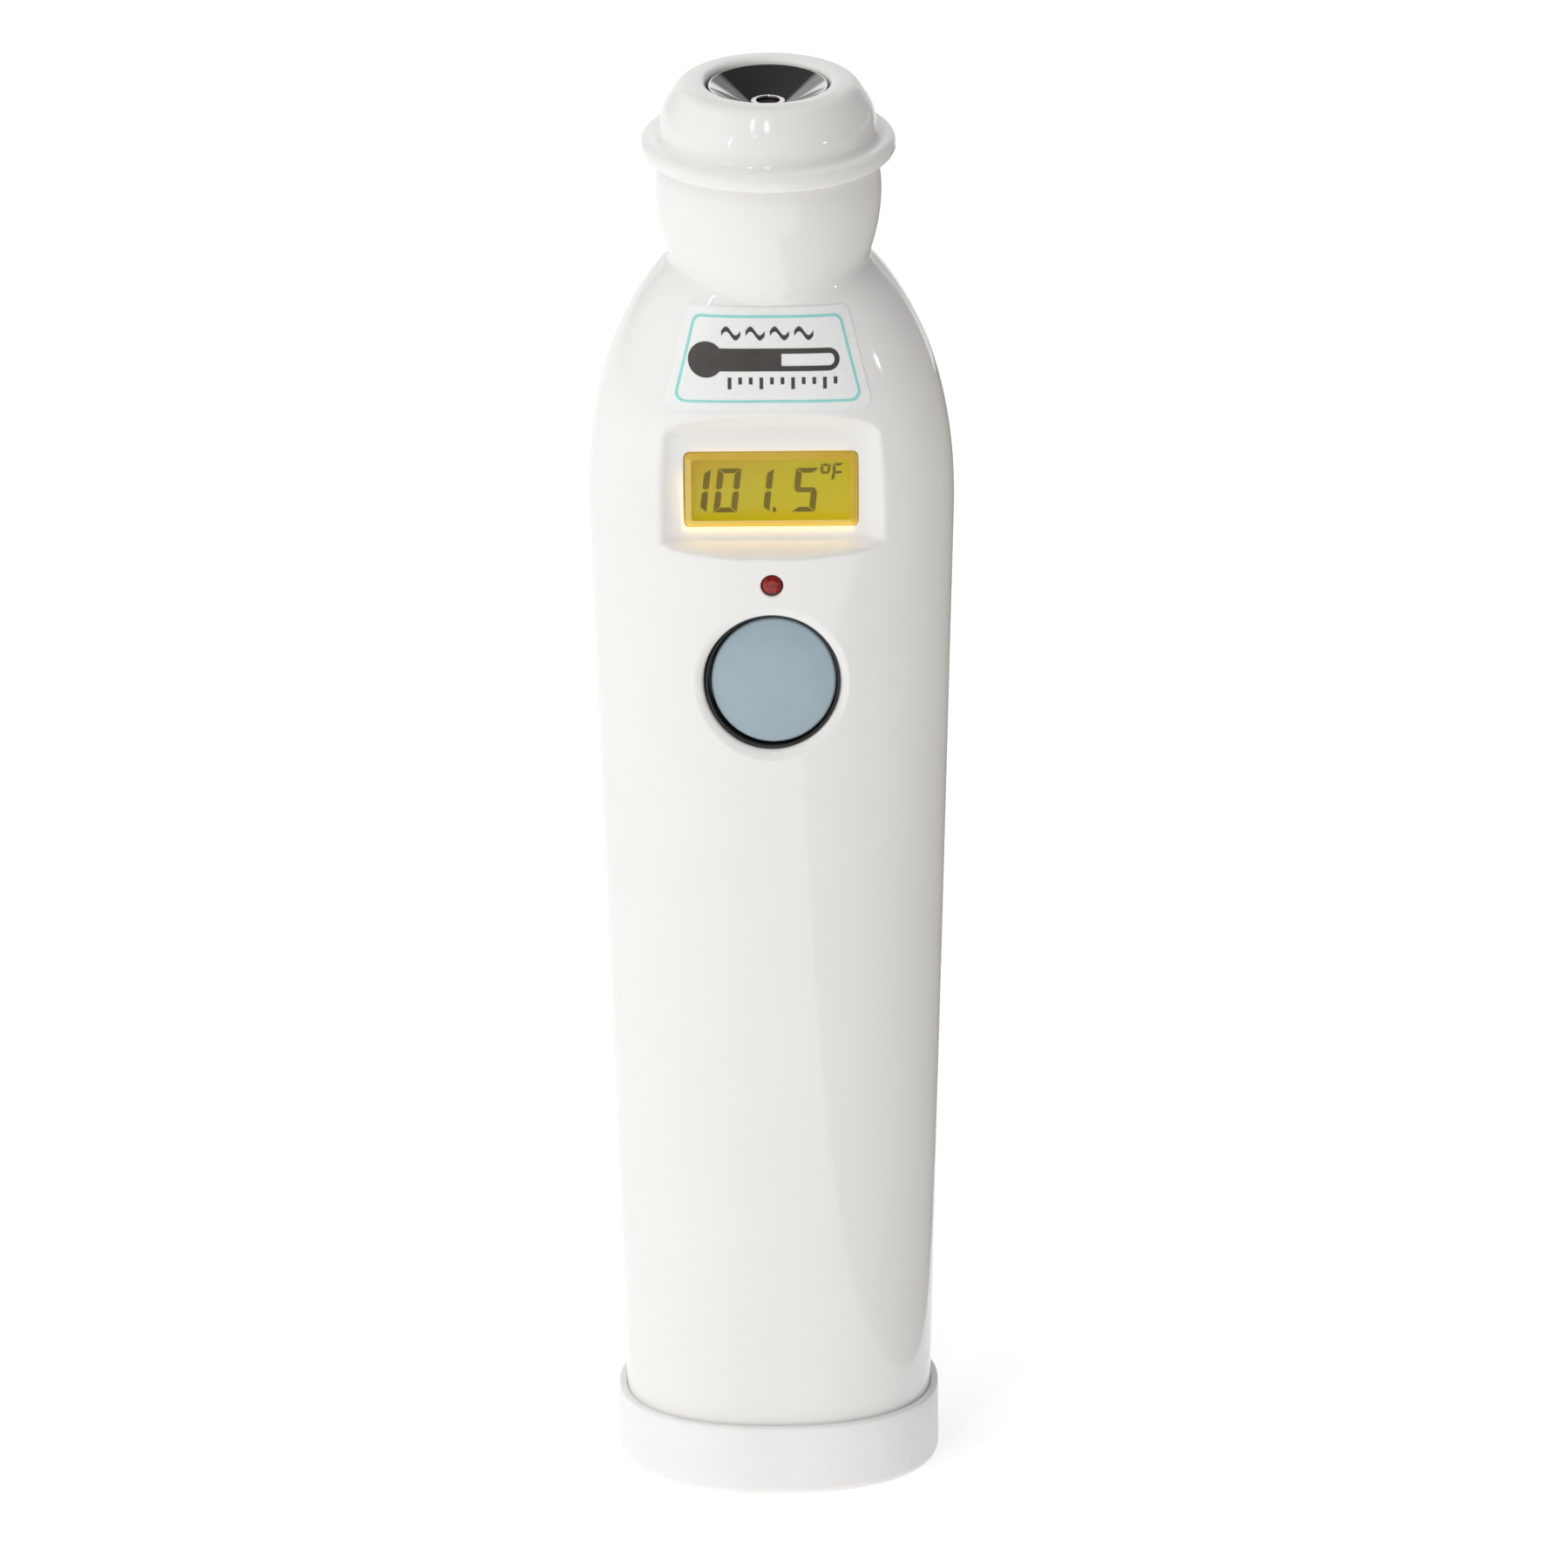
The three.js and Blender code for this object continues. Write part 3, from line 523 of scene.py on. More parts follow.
def shifted(outline, x, z):
    return outline + np.array([x, z])


BODY_ROWS = np.concatenate([
    np.arange(2.6, 110, 1.9),
    np.arange(110, 146, 0.9),
    np.arange(146, 153, 0.28),
    np.arange(153, 163, 0.6),
])
BODY_COLUMNS = np.linspace(-math.pi / 2, math.pi / 2, 61) * LAYOUT_RADIUS


def front_cover(material):
    fine = grid(np.arange(-17.5, 17.6, 0.34), np.arange(116.8, 138.2, 0.34))
    button_axis = (0, math.cos(BUTTON_TILT), -math.sin(BUTTON_TILT))
    deep = np.array(button_axis) * 2.3
    button = round_hole(
        HOLE_X, HOLE_Z, BUTTON_HOLE, BUTTON_LIP, 160, [lambda corner: corner + deep],
        button_axis, BUTTON_STRETCH, LIP_PROFILE,
    )
    lamp_wall = [lambda corner: corner + np.array([0, 1.3, 0])]
    lamp = round_hole(0, LAMP_Z, LAMP_RADIUS + 0.12, 0.22, 40, lamp_wall)
    window = rectangle_path(WINDOW_HALF_WIDTH + 0.12, WINDOW_HALF_HEIGHT + 0.12, 0.7)
    wider = rectangle_path(WINDOW_HALF_WIDTH + 0.3, WINDOW_HALF_HEIGHT + 0.3, 0.88)
    lean = np.array([0, math.cos(DISPLAY_TILT), -math.sin(DISPLAY_TILT)])
    start, corner = matched(window_layout(wider), window_layout(window), 0.35)
    opening = Edge(start, corner, 0.15, [lambda ring: ring + lean * 1.2], lean)
    grids = [(grid(BODY_COLUMNS, BODY_ROWS), 1.2), (fine, 0.34)]
    holes = [button, lamp, opening]
    return panel("front_shell", front_surface, front_inner, half_shell_edge(), holes, grids, material)


def window_layout(outline):
    """Flat places of an outline on the recess floor, which lies below the handle's surface."""
    x, z = outline.T
    z = DISPLAY_Z + z * math.cos(DISPLAY_TILT)
    low, high = np.full(len(x), -math.pi / 3), np.full(len(x), math.pi / 3)
    for _ in range(40):
        middle = (low + high) / 2
        too_far = handle_radius(middle, z) * np.sin(middle) > x
        high = np.where(too_far, middle, high)
        low = np.where(too_far, low, middle)
    return np.stack([(low + high) / 2 * LAYOUT_RADIUS, z], 1)


def door_outline(inset):
    centre = (DOOR_LOW + DOOR_HIGH) / 2
    half_height = (DOOR_HIGH - DOOR_LOW) / 2 - inset
    return shifted(rectangle_path(DOOR_HALF_WIDTH - inset, half_height, 2.2 - inset, 8), 0, centre)


def rear_cover(material):
    start, corner = matched(laid_out(door_outline(-0.25)), laid_out(door_outline(0)), 1.1)
    opening = Edge(start, corner, 0.25, [inward(1.45)])
    wells = []
    for x, z in SHELL_SCREWS:
        wells.append(round_hole(-x, z, 2.05, 0.18, 40, screw_seat(-x, z, SHELL_SCREW_FLOOR, 3, 0.6)))
    grids = [(grid(BODY_COLUMNS, BODY_ROWS), 1.2)]
    edge = half_shell_edge()
    return panel("rear_shell", rear_surface, rear_inner, edge, [opening, *wells], grids, material, rear=True)


def battery_door(material):
    start, corner = matched(laid_out(door_outline(0.35)), laid_out(door_outline(0.12)), 1.1)
    outline = Edge(start, corner, 0.25, [inward(1.45)])
    x, z = DOOR_SCREW
    well = round_hole(x, z, 2.5, 0.2, 40, screw_seat(x, z, DOOR_SCREW_FLOOR, 9.6, 0.58))
    columns = BODY_COLUMNS[np.abs(BODY_COLUMNS) < 20]
    thumb = grid(np.arange(-9, 9.1, 0.3), np.arange(THUMB_Z - 6, THUMB_Z + 6.1, 0.16))
    grids = [(grid(columns, np.arange(11, 69, 1.9)), 1.2), (thumb, 0.25)]
    return panel("rear_door", rear_surface, rear_inner, outline, [well], grids, material, rear=True)


# ---- Printed films: thin patches that follow the handle ----

FILM_SPACING = 0.6


def film(name, outlines, lift, thickness, materials, rear=False):
    """Thin closed patches on the skin. Each outline is (path, holes, material index, lift)."""
    points, faces, slots, total = [], [], [], 0
    for path, holes, slot, extra in outlines:
        loops = [resampled(np.asarray(loop, float), FILM_SPACING) for loop in (path, *holes)]
        low, high = loops[0].min(0), loops[0].max(0)
        fill = grid(*(np.arange(low[k] + FILM_SPACING / 2, high[k], FILM_SPACING) for k in (0, 1)))
        fill = fill[spaced(fill, loops, 0.5 * FILM_SPACING)]
        flat_out, starts, triangles = triangulate(loops, [fill])
        triangles = covered(flat_out, triangles, loops)
        count = len(flat_out)
        places = laid_out(flat_out)
        skin, out_from = handle_points(places), normals_of(handle_points, places)
        top = skin + out_from * (lift + extra + thickness)
        bottom = skin + out_from * (lift + extra)
        points += [top, bottom]
        faces += (triangles + total).tolist() + (triangles[:, ::-1] + total + count).tolist()
        slots += [slot] * (2 * len(triangles))
        for i, (loop, start) in enumerate(zip(loops, starts)):
            ring = [place + total for place in start]
            if (loop_area(loop) > 0) != (i == 0):
                ring = ring[::-1]
            faces += band(ring, [place + count for place in ring])
            slots += [slot] * len(ring)
        total += 2 * count
    points = np.concatenate(points)
    if rear:
        points[:, :2] *= -1
    return make_object(name, points, faces, materials, slots, sharp=50)


# ---- Materials ----

def add_node(tree, kind, values, **settings):
    """A shader node. A value for one of its inputs is a constant, or an output to link."""
    made = tree.nodes.new(kind)
    for key, value in settings.items():
        setattr(made, key, value)
    fill_inputs(tree, made, values)
    return made


def fill_inputs(tree, node, values):
    for key, value in values.items():
        if isinstance(value, bpy.types.NodeSocket):
            tree.links.new(value, node.inputs[key])
        else:
            node.inputs[key].default_value = value


def mapped(tree, value, start, end, low, high, **settings):
    """Maps value from start..end to low..high, held at both ends."""
    values = {"Value": value, "From Min": start, "From Max": end, "To Min": low, "To Max": high}
    return add_node(tree, "ShaderNodeMapRange", values, **settings).outputs["Result"]


class Surface:
    """A Principled material that is built up with procedural detail in the object's own space."""

    def __init__(self, name, color, roughness, **constant):
        self.material = bpy.data.materials.new(name)
        self.material.use_nodes = True
        self.material.diffuse_color = (*color, 1)
        self.tree = self.material.node_tree
        self.shader = self.tree.nodes["Principled BSDF"]
        self.fill({"Base Color": (*color, 1), "Roughness": roughness})
        self.fill({socket.replace("_", " "): value for socket, value in constant.items()})
        self.where = self.tree.nodes.new("ShaderNodeTexCoord").outputs["Object"]

    def fill(self, values):
        fill_inputs(self.tree, self.shader, values)

    def node(self, kind, values, **settings):
        return add_node(self.tree, kind, values, **settings)

    def along(self, axis):
        return self.node("ShaderNodeSeparateXYZ", {"Vector": self.where}).outputs[axis]

    def noise(self, scale, detail=3):
        values = {"Scale": scale, "Detail": detail, "Roughness": 0.5, "Vector": self.where}
        return self.node("ShaderNodeTexNoise", values).outputs["Fac"]

    def ramp(self, value, *stops):
        """Colours along value, from (position, colour) stops in order."""
        made = self.node("ShaderNodeValToRGB", {"Fac": value})
        elements = made.color_ramp.elements
        for _ in stops[2:]:
            elements.new(0.5)
        for element, (position, color) in zip(elements, stops):
            element.position = position
            element.color = (*color, 1)
        return made.outputs["Color"]

    def mottle(self, color, other, scale, start=0.35, end=0.65):
        """Varies the base colour slowly between two close tones."""
        self.fill({"Base Color": self.ramp(self.noise(scale), (start, color), (end, other))})

    def uneven_gloss(self, low, high, scale):
        self.fill({"Roughness": mapped(self.tree, self.noise(scale, 4), 0.3, 0.7, low, high)})

    def bump(self, scale, distance, strength):
        values = {"Distance": distance, "Strength": strength, "Height": self.noise(scale, 2)}
        self.fill({"Normal": self.node("ShaderNodeBump", values).outputs["Normal"]})


def finish(name, tone, other, roughness, scale, gloss, grain, **constant):
    """A tone mottled with another, uneven gloss (low, high, scale) and grain (scale, depth, strength)."""
    made = Surface(name, tone, roughness, **constant)
    made.mottle(tone, other, scale)
    made.uneven_gloss(*gloss)
    made.bump(*grain)
    return made.material


def glossy_shell():
    tone, other = (0.835, 0.82, 0.79), (0.85, 0.835, 0.81)
    gloss, grain = (0.045, 0.1, 900), (260, 0.00006, 0.16)
    return finish("shell_white", tone, other, 0.07, 60, gloss, grain, IOR=1.52)


def milky_cap():
    tone, other = (0.85, 0.845, 0.83), (0.88, 0.875, 0.86)
    milk = {"IOR": 1.49, "Subsurface_Weight": 0.15, "Subsurface_Scale": 0.0015}
    return finish("cap_white", tone, other, 0.4, 90, (0.34, 0.48, 700), (1800, 0.00004, 0.5), **milk)


def button_plastic():
    tone, other = (0.33, 0.42, 0.475), (0.36, 0.45, 0.50)
    return finish("button_grey", tone, other, 0.42, 150, (0.36, 0.5, 1500), (4200, 0.00003, 0.6))


def plain(name, tone, roughness, vary=0.06, scale=500, **constant):
    """Moulded plastic, rubber, film or paint: a mottled tone with a fine grain."""
    other = tuple(c * (1 + vary) for c in tone)
    gloss = (roughness * 0.85, roughness * 1.15, scale * 3)
    return finish(name, tone, other, roughness, scale, gloss, (2500, 0.00002, 0.5), **constant)


def black_plastic():
    made = Surface("black_plastic", (0.008, 0.008, 0.009), 0.4)
    made.mottle((0.007, 0.007, 0.008), (0.013, 0.013, 0.014), 300)
    made.bump(3000, 0.00004, 0.6)
    return made.material


def polished(name, tone, roughness):
    made = Surface(name, tone, roughness, Metallic=1.0)
    made.mottle(tone, tuple(0.96 * c for c in tone), 800)
    made.uneven_gloss(roughness * 0.6, roughness * 1.5, 1200)
    return made.material


def steel():
    made = Surface("steel", (0.55, 0.56, 0.57), 0.32, Metallic=1.0)
    made.mottle((0.5, 0.51, 0.52), (0.62, 0.63, 0.64), 900)
    made.uneven_gloss(0.25, 0.42, 2500)
    made.bump(5000, 0.00002, 0.5)
    return made.material


def circuit_board():
    """Green solder mask over copper tracks."""
    made = Surface("board_green", (0.01, 0.13, 0.05), 0.35)
    turned = {"Vector": made.where, "Rotation": (math.pi / 2, 0, 0)}
    brick = made.node("ShaderNodeTexBrick", {
        "Vector": made.node("ShaderNodeMapping", turned).outputs["Vector"],
        "Scale": 320,
        "Mortar Size": 0.03,
        "Color1": (0.008, 0.11, 0.04, 1),
        "Color2": (0.01, 0.13, 0.05, 1),
        "Mortar": (0.03, 0.24, 0.10, 1),
    })
    made.fill({"Base Color": brick.outputs["Color"]})
    made.bump(600, 0.00005, 0.5)
    return made.material


def lamp_epoxy():
    made = Surface("lamp_red", (0.22, 0.006, 0.004), 0.05, IOR=1.5)
    made.mottle((0.16, 0.003, 0.003), (0.34, 0.016, 0.008), 1300, 0.42, 0.58)
    made.bump(500, 0.00002, 0.3)
    return made.material


def lcd_with_painted_shade():
    """The backlit display, brighter and more yellow towards the lower right; its dimmer top is painted shade
    from the recess's upper edge, and its tan top left a painted reflection.
    """
    made = Surface("lcd_green", (0.16, 0.14, 0.015), 0.3)
    values = {0: made.along("Z"), 1: -1.0, 2: DISPLAY_Z * MM}
    down = made.node("ShaderNodeMath", values, operation="MULTIPLY_ADD").outputs["Value"]
    values = {0: made.along("X"), 1: 0.45, 2: down}
    slope = made.node("ShaderNodeMath", values, operation="MULTIPLY_ADD").outputs["Value"]
    # Painted shade and reflection: the tan, dimmer top left stands for the recess edge's shade and a sheen;
    # the yellow lower right is the backlight's own light.
    tones = ((0, (0.42, 0.26, 0.03)), (0.5, (0.40, 0.345, 0.002)), (1, (0.50, 0.38, 0.002)))
    picture = made.ramp(mapped(made.tree, slope, -0.0075, 0.0078, 0, 1), *tones)
    made.fill({"Emission Color": picture, "Emission Strength": 1.0})
    made.bump(2500, 0.00001, 0.3)
    return made.material


def amber_edge():
    made = Surface("amber_edge", (0.46, 0.31, 0.04), 0.12, Coat_Weight=1.0, Coat_Roughness=0.04)
    made.mottle((0.44, 0.29, 0.035), (0.50, 0.34, 0.05), 250)
    # Painted glow: the lens's amber edge is no lamp but shines as if lit by the backlight, brightest along
    # its bottom and dimmer higher up.
    low, high = (DISPLAY_Z - 4.3) * MM, (DISPLAY_Z - 3.4) * MM
    strength = mapped(made.tree, made.along("Z"), low, high, 0.5, 0.17)
    made.fill({"Emission Color": (1.0, 0.62, 0.04, 1), "Emission Strength": strength})
    return made.material


def window_clear():
    """The window's flat front: it lets the display through and keeps its own gloss."""
    made = Surface("amber_window", (0.30, 0.2, 0.01), 0.05, IOR=1.49, Alpha=0.1)
    made.uneven_gloss(0.03, 0.08, 1500)
    return made.material


# ---- Camera, light and floor ----

def make_camera():
    """A long lens 22 degrees above the horizon, straight in front, with a slight roll."""
    elevation, distance, roll = math.radians(22), 2.6, math.radians(-0.48)
    aim = Vector((0, 0, 0.086))
    back = Vector((0, -math.cos(elevation), math.sin(elevation)))
    up = Vector((0, math.sin(elevation), math.cos(elevation)))
    data = bpy.data.cameras.new("camera")
    data.sensor_width = 36
    data.lens = 510.9
    camera = bpy.data.objects.new("camera", data)
    place = aim + back * distance + Vector((0.0012, 0, 0)) - up * 0.00155
    turn = Matrix.Rotation(math.pi / 2 - elevation, 4, "X") @ Matrix.Rotation(roll, 4, "Z")
    camera.matrix_world = Matrix.Translation(place) @ turn
    data.clip_end = 50
    bpy.context.scene.collection.objects.link(camera)
    bpy.context.scene.camera = camera


def panel_light(name, place, towards, width, height, power, color=(1, 1, 1)):
    """A rectangular light that shines along the vector towards."""
    data = bpy.data.lights.new(name, "AREA")
    data.shape = "RECTANGLE"
    data.size, data.size_y = width, height
    data.energy = power
    data.color = color
    light = bpy.data.objects.new(name, data)
    light.location = place
    light.rotation_euler = Vector(towards).to_track_quat("-Z", "Y").to_euler()
    bpy.context.scene.collection.objects.link(light)
    return light


def from_angles(azimuth, elevation, distance):
    """A place round the object: azimuth 0 is in front, and 90 is at its right."""
    a, e = math.radians(azimuth), math.radians(elevation)
    aim = Vector((0, 0, 0.1))
    return aim + distance * Vector((math.sin(a) * math.cos(e), -math.cos(a) * math.cos(e), math.sin(e)))


def make_lights():
    """Soft fills that leave no reflection, and small panes that do."""
    top = Vector((-0.35, 0, 1.6))
    panel_light("top_fill", top, Vector((0, 0, 0.08)) - top, 2.2, 2.2, 22).visible_glossy = False
    fill = from_angles(-35, 16, 2.2)
    panel_light("front_fill", fill, Vector((0, 0, 0.14)) - fill, 1.0, 0.6, 7.6).visible_glossy = False
    for name, azimuth, elevation, distance, aim_z, width, height, power in (
        ("key_left", -62, 24, 1.1, 0.09, 0.7, 0.9, 0.6),
        ("pane_a", -22, 48, 1.2, 0.16, 0.03, 0.035, 0.6),
        ("pane_b", -2, 48, 1.2, 0.16, 0.03, 0.035, 0.5),
        ("pane_c", -16, 42, 1.2, 0.16, 0.022, 0.03, 0.15),
        ("strip_left", -42, 20, 1.2, 0.12, 0.03, 0.45, 0.45),
        ("pane_right", 61.5, 7.7, 1.2, 0.14, 0.035, 0.04, 0.4),
    ):
        place = from_angles(azimuth, elevation, distance)
        panel_light(name, place, Vector((0, 0, aim_z)) - place, width, height, power)


def make_backlight_leak():
    """The backlight that leaks from three edges of the window onto the recess, in display axes."""
    for name, place, towards, width, height, power in (
        ("glow_low", (-0.3, -0.34, -4.55), (0, 0.55, -1), 19.6, 0.4, 0.00007),
        ("glow_left", (-10.12, -0.34, -1.2), (-1, 0.25, 0), 0.4, 7, 0.000012),
        ("glow_top", (0, -0.34, 4.55), (0, 0.25, 1), 18, 0.4, 0.000015),
    ):
        start, end = at_display([place, np.add(place, towards)]) * MM
        light = panel_light(name, start, end - start, width * MM, height * MM, power, (1, 0.62, 0.02))
        light.visible_camera = False
        light.visible_glossy = False
        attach(light, "handle")


def make_world():
    """Pale all round near the horizon, brighter at the left and behind, and dark overhead."""
    world = bpy.data.worlds.new("studio")
    world.use_nodes = True
    tree = world.node_tree
    where = tree.nodes.new("ShaderNodeTexCoord").outputs["Generated"]
    apart = add_node(tree, "ShaderNodeSeparateXYZ", {"Vector": where}).outputs
    side = mapped(tree, apart["X"], -1, 1, 0.38, 0.14)
    high = mapped(tree, apart["Z"], 0.55, 0.68, 1.0, 0.13, interpolation_type="SMOOTHSTEP")
    behind = mapped(tree, apart["Y"], 0.8, 0.9, 0.0, 0.85)
    round_about = add_node(tree, "ShaderNodeMath", {0: side, 1: high}, operation="MULTIPLY")
    values = {0: round_about.outputs["Value"], 1: behind}
    strength = add_node(tree, "ShaderNodeMath", values, operation="MAXIMUM").outputs["Value"]
    fill_inputs(tree, tree.nodes["Background"], {"Strength": strength, "Color": (1, 1, 1, 1)})
    bpy.context.scene.world = world


def make_floor():
    made = Surface("floor_white", (0.9, 0.9, 0.9), 0.7)
    made.mottle((0.895, 0.895, 0.895), (0.905, 0.905, 0.905), 3)
    made.fill({"Emission Color": (1, 1, 1, 1), "Emission Strength": 0.44})
    side = 3000
    points = [(x, z, 0) for x, z in bar(-side, -side, side, side)]
    make_object("floor", points, [(0, 1, 2, 3)], [made.material])


def make_cards():
    """Dull cards at the right that only the glossy surfaces mirror."""
    made = Surface("card_grey", (0.30, 0.265, 0.22), 0.9)
    made.mottle((0.30, 0.265, 0.22), (0.31, 0.27, 0.225), 3)
    standing = [(235, -420, 1), (275, 500, 1), (275, 500, 130), (235, -420, 130)]
    lying = [(42, -300, 0.6), (600, -420, 0.6), (640, 620, 0.6), (42, 420, 0.6)]
    for name, points in (("side_card", standing), ("floor_card", lying)):
        card = make_object(name, points, [(0, 1, 2, 3)], [made.material])
        card.visible_camera = False
        card.visible_diffuse = False
        card.visible_shadow = False


def make_studio():
    bpy.context.scene.view_settings.view_transform = "Standard"
    make_camera()
    make_world()
    make_floor()
    make_cards()
    make_lights()
    make_backlight_leak()


# ---- Probe ----

def build_probe(shell, metal, glass):
    turned("probe_shell", "handle", "shell_white", "probe_cup", [
        (9.3, 158.6, 0.2), (10.5, 158.6, 0.3), (10.5, 163.22, 0.05),
        (14.75, 163.22, 1.0), (14.75, 165.42, 0.95), (12.72, 165.42, 1.0),
        (12.3, 168.6, 5.0), (10.3, 171.7, 3.0), (8.6, 172, 1.5), (7.2, 172, 0.7),
        (7.2, 169.9, 0.05), (8.2, 169.9, 0.1), (9.5, 169.1, 0.3), (10.3, 167.9, 0.3),
        (10.6, 166.4, 0.3), (10.6, 164.6, 0.1), (9.3, 164, 0.1),
    ], shell, 192, sharp=60, steps=8)
    turned("reflector", "handle", "mirror_metal", "reflector_cone", [
        (2.45, 165.2, 0.05), (3.6, 165.2, 0.1), (3.6, 166.8, 0.1), (6.9, 170.3, 0.1),
        (6.9, 171.4, 0.06), (6.72, 171.4, 0.06), (2.45, 168.7, 0.12),
    ], metal, 192, sharp=50)
    turned("sensor_housing", "handle", "mirror_metal", "sensor_can", [
        (1.85, 165.6, 0), (2.1, 165.6, 0.05), (2.1, 169.55, 0.22), (1.35, 169.55, 0.08),
        (1.35, 169.3, 0.05), (1.85, 169.3, 0.05),
    ], metal, 96, sharp=50)
    turned("sensor_filter", "handle", "sensor_glass", "sensor_window", [
        (0, 168.7, 0), (1.55, 168.7, 0.05), (1.55, 169.05, 0.08), (0, 169.05, 0),
    ], glass, 64, sharp=50)


# ---- Button, lamp, display ----

BUTTON_Y = -float(surface_depth(0, BUTTON_Z))


def at_button(offset):
    def place(points):
        return tilted(facing_front(points) + np.array([offset, 0, 0]), BUTTON_TILT, BUTTON_Y, BUTTON_Z)
    return place


def build_button(grey, black):
    turned("push_button", "button_key", "button_grey", "button", [
        (0, -5.3, 0), (2, -5.3, 0.1), (2, -4.9, 0.1), (8.5, -4.9, 0.15), (8.5, -4.2, 0.15),
        (7.25, -4.2, 0.1), (7.25, -1.34, 0.4), (4.6, -1.1, 9), (0, -1.0, 0),
    ], grey, 160, place=at_button(BUTTON_OFFSET), stretch=BUTTON_STRETCH, steps=8)
    turned("button_ring", "handle", "black_plastic", "button_bezel", [
        (7.5, -3.9, 0.1), (9.4, -3.9, 0.1), (9.4, -3.3, 0.1), (7.78, -3.3, 0.05),
        (7.78, -1.0, 0.08), (7.5, -1.0, 0.1),
    ], black, 160, place=at_button(0), stretch=BUTTON_STRETCH)


def build_lamp(epoxy):
    tip = float(surface_depth(0, LAMP_Z)) + 0.12

    def place(points):
        return facing_front(points) + np.array([0, 0, LAMP_Z])
    turned("status_lamp", "handle", "lamp_red", "status_led", [
        (0, 9.2, 0), (1.5, 9.2, 0.1), (1.5, 10, 0.1), (LAMP_RADIUS, 10, 0.05),
        (LAMP_RADIUS, tip, 0.95), (0, tip, 0),
    ], epoxy, 48, place=place, steps=10)


def slab_rings(name, rings, materials, slots, cap_slot):
    """A rounded slab that faces -Y from (half width, half height, corner, depth) rings, back first."""
    loops = [(rectangle_path(half_w, half_h, corner), y) for half_w, half_h, corner, y in rings]
    points = [np.stack([loop[:, 0], np.full(len(loop), y), loop[:, 1]], 1) for loop, y in loops]
    size = len(points[0])
    places = [range(i * size, (i + 1) * size) for i in range(len(rings))]
    faces, face_slots = [], []
    for before, after, slot in zip(places, places[1:], slots):
        faces += band(after, before)
        face_slots += [slot] * size
    faces += [list(places[-1]), list(reversed(places[0]))]
    face_slots += [cap_slot, slots[0]]
    points = at_display(np.concatenate(points))
    return make_object(name, points, faces, materials, face_slots, sharp=20)


SEGMENT_GAP = 0.07


def segment_shapes(width, height, upright, level, lit):
    """Outlines of the lit bars of one seven-segment digit, its lower left corner at the origin.
    upright and level are the thicknesses of the standing and lying bars."""
    w, h, v, t, g = width, height, upright, level, SEGMENT_GAP
    middle = h / 2
    top = [(g, h), (w - g, h), (w - v - g, h - t), (v + g, h - t)]
    left = [(0, h - g), (v, h - t - g), (v, middle + t / 2 + g), (v / 2, middle + g)]
    left.append((0, middle + t / 3 + g))
    centre = [(g, middle), (v / 2 + g, middle + t / 2), (w - v / 2 - g, middle + t / 2)]

    def across(path):
        return [(w - x, z) for x, z in reversed(path)]

    def down(path):
        return [(x, h - z) for x, z in reversed(path)]
    bars = {
        "a": top, "d": down(top), "f": left, "e": down(left), "b": across(left), "c": across(down(left)),
        "g": centre + across(down(centre)),
    }
    return [bars[name] for name in lit]


LIT = {"0": "abcdef", "1": "bc", "5": "afgcd", "F": "aefg", "o": "abfg"}
DIGIT_SLANT = 0.115


def build_digits(ink):
    """The reading 101.5 and a degree mark with F, as thin bars on the display's glass."""
    shapes = []

    def add(character, x, z, width, height, upright, level):
        for outline in segment_shapes(width, height, upright, level, LIT[character]):
            shapes.append([(x + bx + bz * DIGIT_SLANT, z + bz) for bx, bz in outline])
    base = -3.0
    for character, x in (("1", -10.3), ("0", -6.75), ("1", -3.0), ("5", 2.3)):
        add(character, x, base, 2.75, 5.3, 0.74, 0.58)
    add("F", 6.95, 0.65, 1.25, 2.2, 0.36, 0.32)
    add("o", 5.55, 0.65, 1.15, 2.15, 0.34, 0.32)
    shapes.append(bar(0.15, base, 0.56, base + 0.55))
    points, faces = [], []
    front, back = 0.66, 0.7
    for shape in shapes:
        if loop_area(np.array(shape)) < 0:
            shape = shape[::-1]
        first, size = len(points), len(shape)
        points += [(x, front, z) for x, z in shape] + [(x, back, z) for x, z in shape]
        near, far = range(first, first + size), range(first + size, first + 2 * size)
        faces += [list(near), list(reversed(far)), *band(near, far)]
    digits = make_object("lcd_digits", at_display(points), faces, [ink], sharp=30)
    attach(digits, "handle")


def build_display(picture, edge, clear, ink):
    window = slab_rings("display_lens", [
        (WINDOW_HALF_WIDTH - 0.1, WINDOW_HALF_HEIGHT - 0.1, 0.5, 0.4),
        (WINDOW_HALF_WIDTH, WINDOW_HALF_HEIGHT, 0.6, 0.3),
        (WINDOW_HALF_WIDTH, WINDOW_HALF_HEIGHT, 0.6, -0.1),
        (WINDOW_HALF_WIDTH - 0.1, WINDOW_HALF_HEIGHT - 0.1, 0.55, -0.2),
        (WINDOW_HALF_WIDTH - 0.6, WINDOW_HALF_HEIGHT - 0.6, 0.4, -0.42),
        (WINDOW_HALF_WIDTH - 0.72, WINDOW_HALF_HEIGHT - 0.72, 0.35, -0.45),
    ], [edge, clear], [0, 0, 0, 0, 0], 1)
    for polygon in window.data.polygons:
        if len(polygon.vertices) > 4:
            polygon.material_index = 1
    install(window, "handle", "amber_window", "display_window")
    glass = slab_rings("lcd_panel", [
        (10.7, 6.5, 0.2, 4.4), (10.8, 6.6, 0.2, 4.3), (10.8, 6.6, 0.2, 2.65), (10.75, 6.55, 0.2, 2.6),
        (9.75, 4.2, 0.4, 2.59), (9.75, 4.2, 0.4, 0.72), (9.7, 4.15, 0.4, 0.7),
    ], [picture], [0] * 6, 0)
    install(glass, "handle", "lcd_green", "lcd_glass")
    build_digits(ink)


# ---- Screws ----

